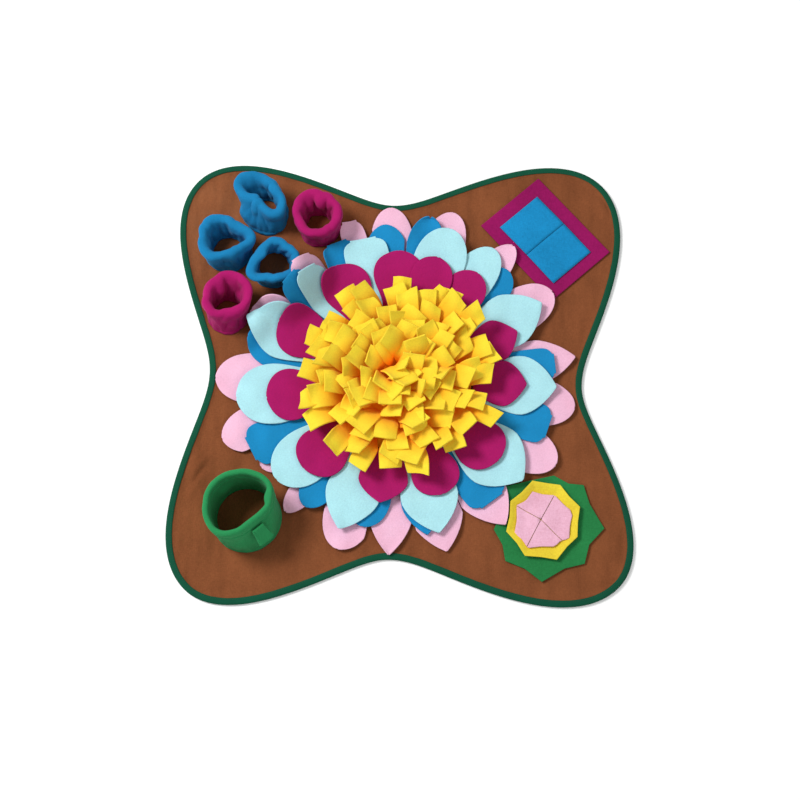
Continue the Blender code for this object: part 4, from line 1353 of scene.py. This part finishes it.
def make_square_pocket(magenta, blue, thread):
    """The magenta square, and the two blue flaps sewn to it on three sides, which meet at the slit."""
    bottom = FELT + GAP
    corners = square_corners(SQUARE_MIDDLE, SQUARE_SIZE, SQUARE_ANGLE)
    piece = cut_patch("pocket_square_cloth", corners, bottom, POCKET_FELT, magenta, 0.8)
    size = (SQUARE_SIZE[0] * MM, SQUARE_SIZE[1] * MM)
    set_down(piece, "pocket_square", size)
    level = bottom + POCKET_FELT + GAP + POCKET_FELT / 2
    rows, columns = FLAP_GRID
    even = [k / (FLAP_STITCH_POINTS - 1) for k in range(FLAP_STITCH_POINTS)]
    for name, sign in (("pocket_flap_upper", -1), ("pocket_flap_lower", 1)):
        points = []
        for row in range(rows):
            for index in range(columns):
                column = (2 * index / (columns - 1) - 1) * -sign
                points.append(flap_spot(sign, column, row / (rows - 1), level))
        flap = add_mesh(f"{name}_cloth", points, grid_faces(rows, columns), blue)
        thicken(flap, POCKET_FELT)
        size = (FLAP_SIZE[0] * MM, FLAP_SIZE[1] * MM)
        set_down(flap, name, size)
        seams = {
            "a": [(-FLAP_SEAM, share) for share in even],
            "b": [(FLAP_SEAM, share) for share in even],
            "c": [(FLAP_SEAM * (2 * share - 1), 0.0) for share in even],
        }
        for side, seam in seams.items():
            line = [flap_spot(sign, *spot, level + POCKET_FELT / 2, FLAP_SEAM_INSET) for spot in seam]
            stitches(f"{name}_stitches_{side}", line, False, thread, "blue_felt", *FLAP_STITCH)


def cut_outline(middle, corners):
    """The outline's corners in the plan, from their directions and reaches."""
    return [(Vector((*middle, 0.0)) + polar(corner.angle, corner.reach))[:2] for corner in corners]


def corner_reach(corners, angle):
    """How far a polygon given by its corners reaches in a direction."""
    for index, corner in enumerate(corners):
        after = corners[(index + 1) % len(corners)]
        width = (after.angle - corner.angle) % 360
        part = (angle - corner.angle) % 360
        if part < width or width == 0:
            a, b = polar(corner.angle, corner.reach), polar(after.angle, after.reach)
            ray = polar(angle, 1.0)
            return (a.x * b.y - a.y * b.x) / (ray.x * (b - a).y - ray.y * (b - a).x)
    raise ValueError(angle)


def make_pink_flaps(pink, level):
    """Four flaps, raised a little where their slits cross and at the ring they are cut to."""
    centre = Vector((*PINK_FLAP_MIDDLE, 0.0))
    rows, columns = PINK_GRID
    for number, start in enumerate(PINK_SLITS, 1):
        end = PINK_SLITS[number % len(PINK_SLITS)]
        width = (end - start) % 360
        inset = polar(start + width / 2, PINK_SLIT / math.sin(math.radians(width / 2)))
        points = []
        for row in range(rows):
            share = 1 - (1 - row / (rows - 1)) ** PINK_CROWDING
            curl = PINK_CURL * smooth((share - PINK_CURL_START) / (1 - PINK_CURL_START))
            rise = PINK_FLAP_RISE * (1 - smooth(share)) + curl
            for column in spread(columns):
                angle = start + width * (column + 1) / 2
                away = max(0.5, corner_reach(PINK_FLAP_CORNERS, angle) * share)
                place = centre + polar(angle, away) + inset
                points.append((place.x, place.y, level + rise))
        name = f"pocket_pink_flap_{number}"
        flap = add_mesh(f"{name}_cloth", points, grid_faces(rows, columns), pink)
        thicken(flap, POCKET_FELT)
        area = math.radians(width) * PINK_REACH**2 / 2 * MM * MM
        flat = (PINK_WIDTH, area / (PINK_WIDTH * PINK_FILL))
        set_down(flap, name, flat, area=area)


def make_flower_pocket(green, gold, pink):
    """The star, the octagon on it with its edge turned up, and the four flaps."""
    bottom = FELT + GAP
    star = cut_outline(STAR_MIDDLE, STAR_CORNERS)
    piece = cut_patch("pocket_star_cloth", star, bottom, POCKET_FELT, green, 1.6, 1.2)
    area = polygon_area(star) * MM * MM
    set_down(piece, "pocket_star", STAR_FLAT, area=area)
    bottom += POCKET_FELT + GAP
    octagon = cut_outline(OCTAGON_MIDDLE, OCTAGON_CORNERS)
    piece = cut_patch("pocket_octagon_cloth", octagon, bottom, POCKET_FELT, gold, 5.0, 0.8)
    area = polygon_area(octagon) * MM * MM
    set_down(piece, "pocket_octagon", OCTAGON_FLAT, area=area)
    make_pink_flaps(pink, bottom + POCKET_FELT + GAP + POCKET_FELT / 2)


# --- the studio ----------------------------------------------------------------------------------

CAMERA_PLACE = Vector((-1.72, -538.4, 1812.9))
CAMERA_RISE = 73.45
FOCAL_PIXELS = 1437.2
FRAME_PIXELS = 800
AIM_RIGHT, AIM_DOWN = 1.8, 22.4
SENSOR = 36.0
FLOOR_GLOW = 0.14
# How strongly the pile glows: a painted light standing in for light shining through its fleece.
PILE_GLOW = 0.05
SKY_STRENGTH = 0.42
FLOOR_REACH = 4.0
FLOOR_DROP = -0.0002
Light = namedtuple("Light", "name place size power")
LIGHTS = (
    Light("key_light", (-1.5, 0.6, 1.9), 0.9, 50),
    Light("fill_light", (1.2, -1.4, 1.8), 1.8, 9),
)


def make_camera():
    """The photograph's viewpoint: from the front, well above the mat, level from side to side."""
    camera = bpy.data.cameras.new("camera")
    camera.sensor_width = SENSOR
    camera.lens = FOCAL_PIXELS / FRAME_PIXELS * SENSOR
    camera.clip_start = 0.05
    camera.clip_end = 20
    rise = math.radians(CAMERA_RISE)
    ahead = Vector((0, math.cos(rise), -math.sin(rise)))
    up = Vector((0, math.sin(rise), math.cos(rise)))
    aim = (ahead * FOCAL_PIXELS + Vector((1, 0, 0)) * AIM_RIGHT - up * AIM_DOWN).normalized()
    right = aim.cross(up).normalized()
    up = right.cross(aim)
    holder = bpy.data.objects.new("camera", camera)
    turn = Matrix((right, up, -aim)).transposed()
    holder.matrix_world = Matrix.Translation(CAMERA_PLACE * MM) @ turn.to_4x4()
    bpy.context.collection.objects.link(holder)
    bpy.context.scene.camera = holder


def add_light(name, place, size, power):
    """A soft round light that shines on the middle of the mat."""
    lamp = bpy.data.lights.new(name, "AREA")
    lamp.shape = "DISK"
    lamp.size = size
    lamp.energy = power
    holder = bpy.data.objects.new(name, lamp)
    holder.location = place
    holder.rotation_euler = (-Vector(place)).to_track_quat("-Z", "Y").to_euler()
    bpy.context.collection.objects.link(holder)


def make_studio():
    """A plain pale floor, a broad soft key light from the upper left and even light from all round."""
    mesh = bpy.data.meshes.new("studio_floor")
    corners = [(x * FLOOR_REACH, y * FLOOR_REACH, 0) for x, y in ((-1, -1), (1, -1), (1, 1), (-1, 1))]
    mesh.from_pydata(corners, [], [[0, 1, 2, 3]])
    mesh.materials.append(floor_finish())
    ground = bpy.data.objects.new("studio_floor", mesh)
    ground.location.z = FLOOR_DROP
    bpy.context.collection.objects.link(ground)
    world = bpy.data.worlds.new("studio")
    world.use_nodes = True
    sky = world.node_tree.nodes["Background"].inputs
    sky["Color"].default_value = (1, 1, 1, 1)
    sky["Strength"].default_value = SKY_STRENGTH
    bpy.context.scene.world = world
    for light in LIGHTS:
        add_light(*light)
    bpy.context.scene.view_settings.view_transform = "Standard"


def main():
    fleeces = {colour: fleece(f"{colour}_fleece", colour) for colour in FLEECES}
    cup_fleeces = {**fleeces, "blue": fleece("blue_cup_fleece", "deep_blue")}
    felts = {name: felt(f"{name}_felt", colour, POCKET_RELIEF) for name, colour in POCKET_FELTS.items()}
    make_studio()
    make_base(felt("brown_felt", "brown", BASE_RELIEF, "tan"))
    tape = tape_finish("dark_green_tape", "dark_green")
    make_binding(tape, thread_finish("dark_green_thread", "dark_green"))
    for cup in CUPS:
        make_cup(cup, cup_fleeces[cup.colour])
    make_tab(CUPS[-1], fleeces["green"])
    make_petal_strips("pink", PINK, fleeces["pink"])
    make_petal_strips("blue", BLUE, fleeces["blue"])
    for colour, petals in (("light_blue", LIGHT_BLUE), ("magenta", MAGENTA)):
        for number, petal in enumerate(petals, 1):
            name = f"{colour}_petal_{number:02d}"
            node = f"petal_{colour}_{number:02d}"
            make_petal(name, petal, LIFTS[colour], fleeces[colour], node)
    make_pile(fleece("yellow_fleece", "yellow", "orange"))
    make_square_pocket(felts["magenta"], felts["blue"], thread_finish("blue_thread", "blue"))
    make_flower_pocket(felts["green"], felts["yellow"], felts["pink"])
    make_camera()


main()
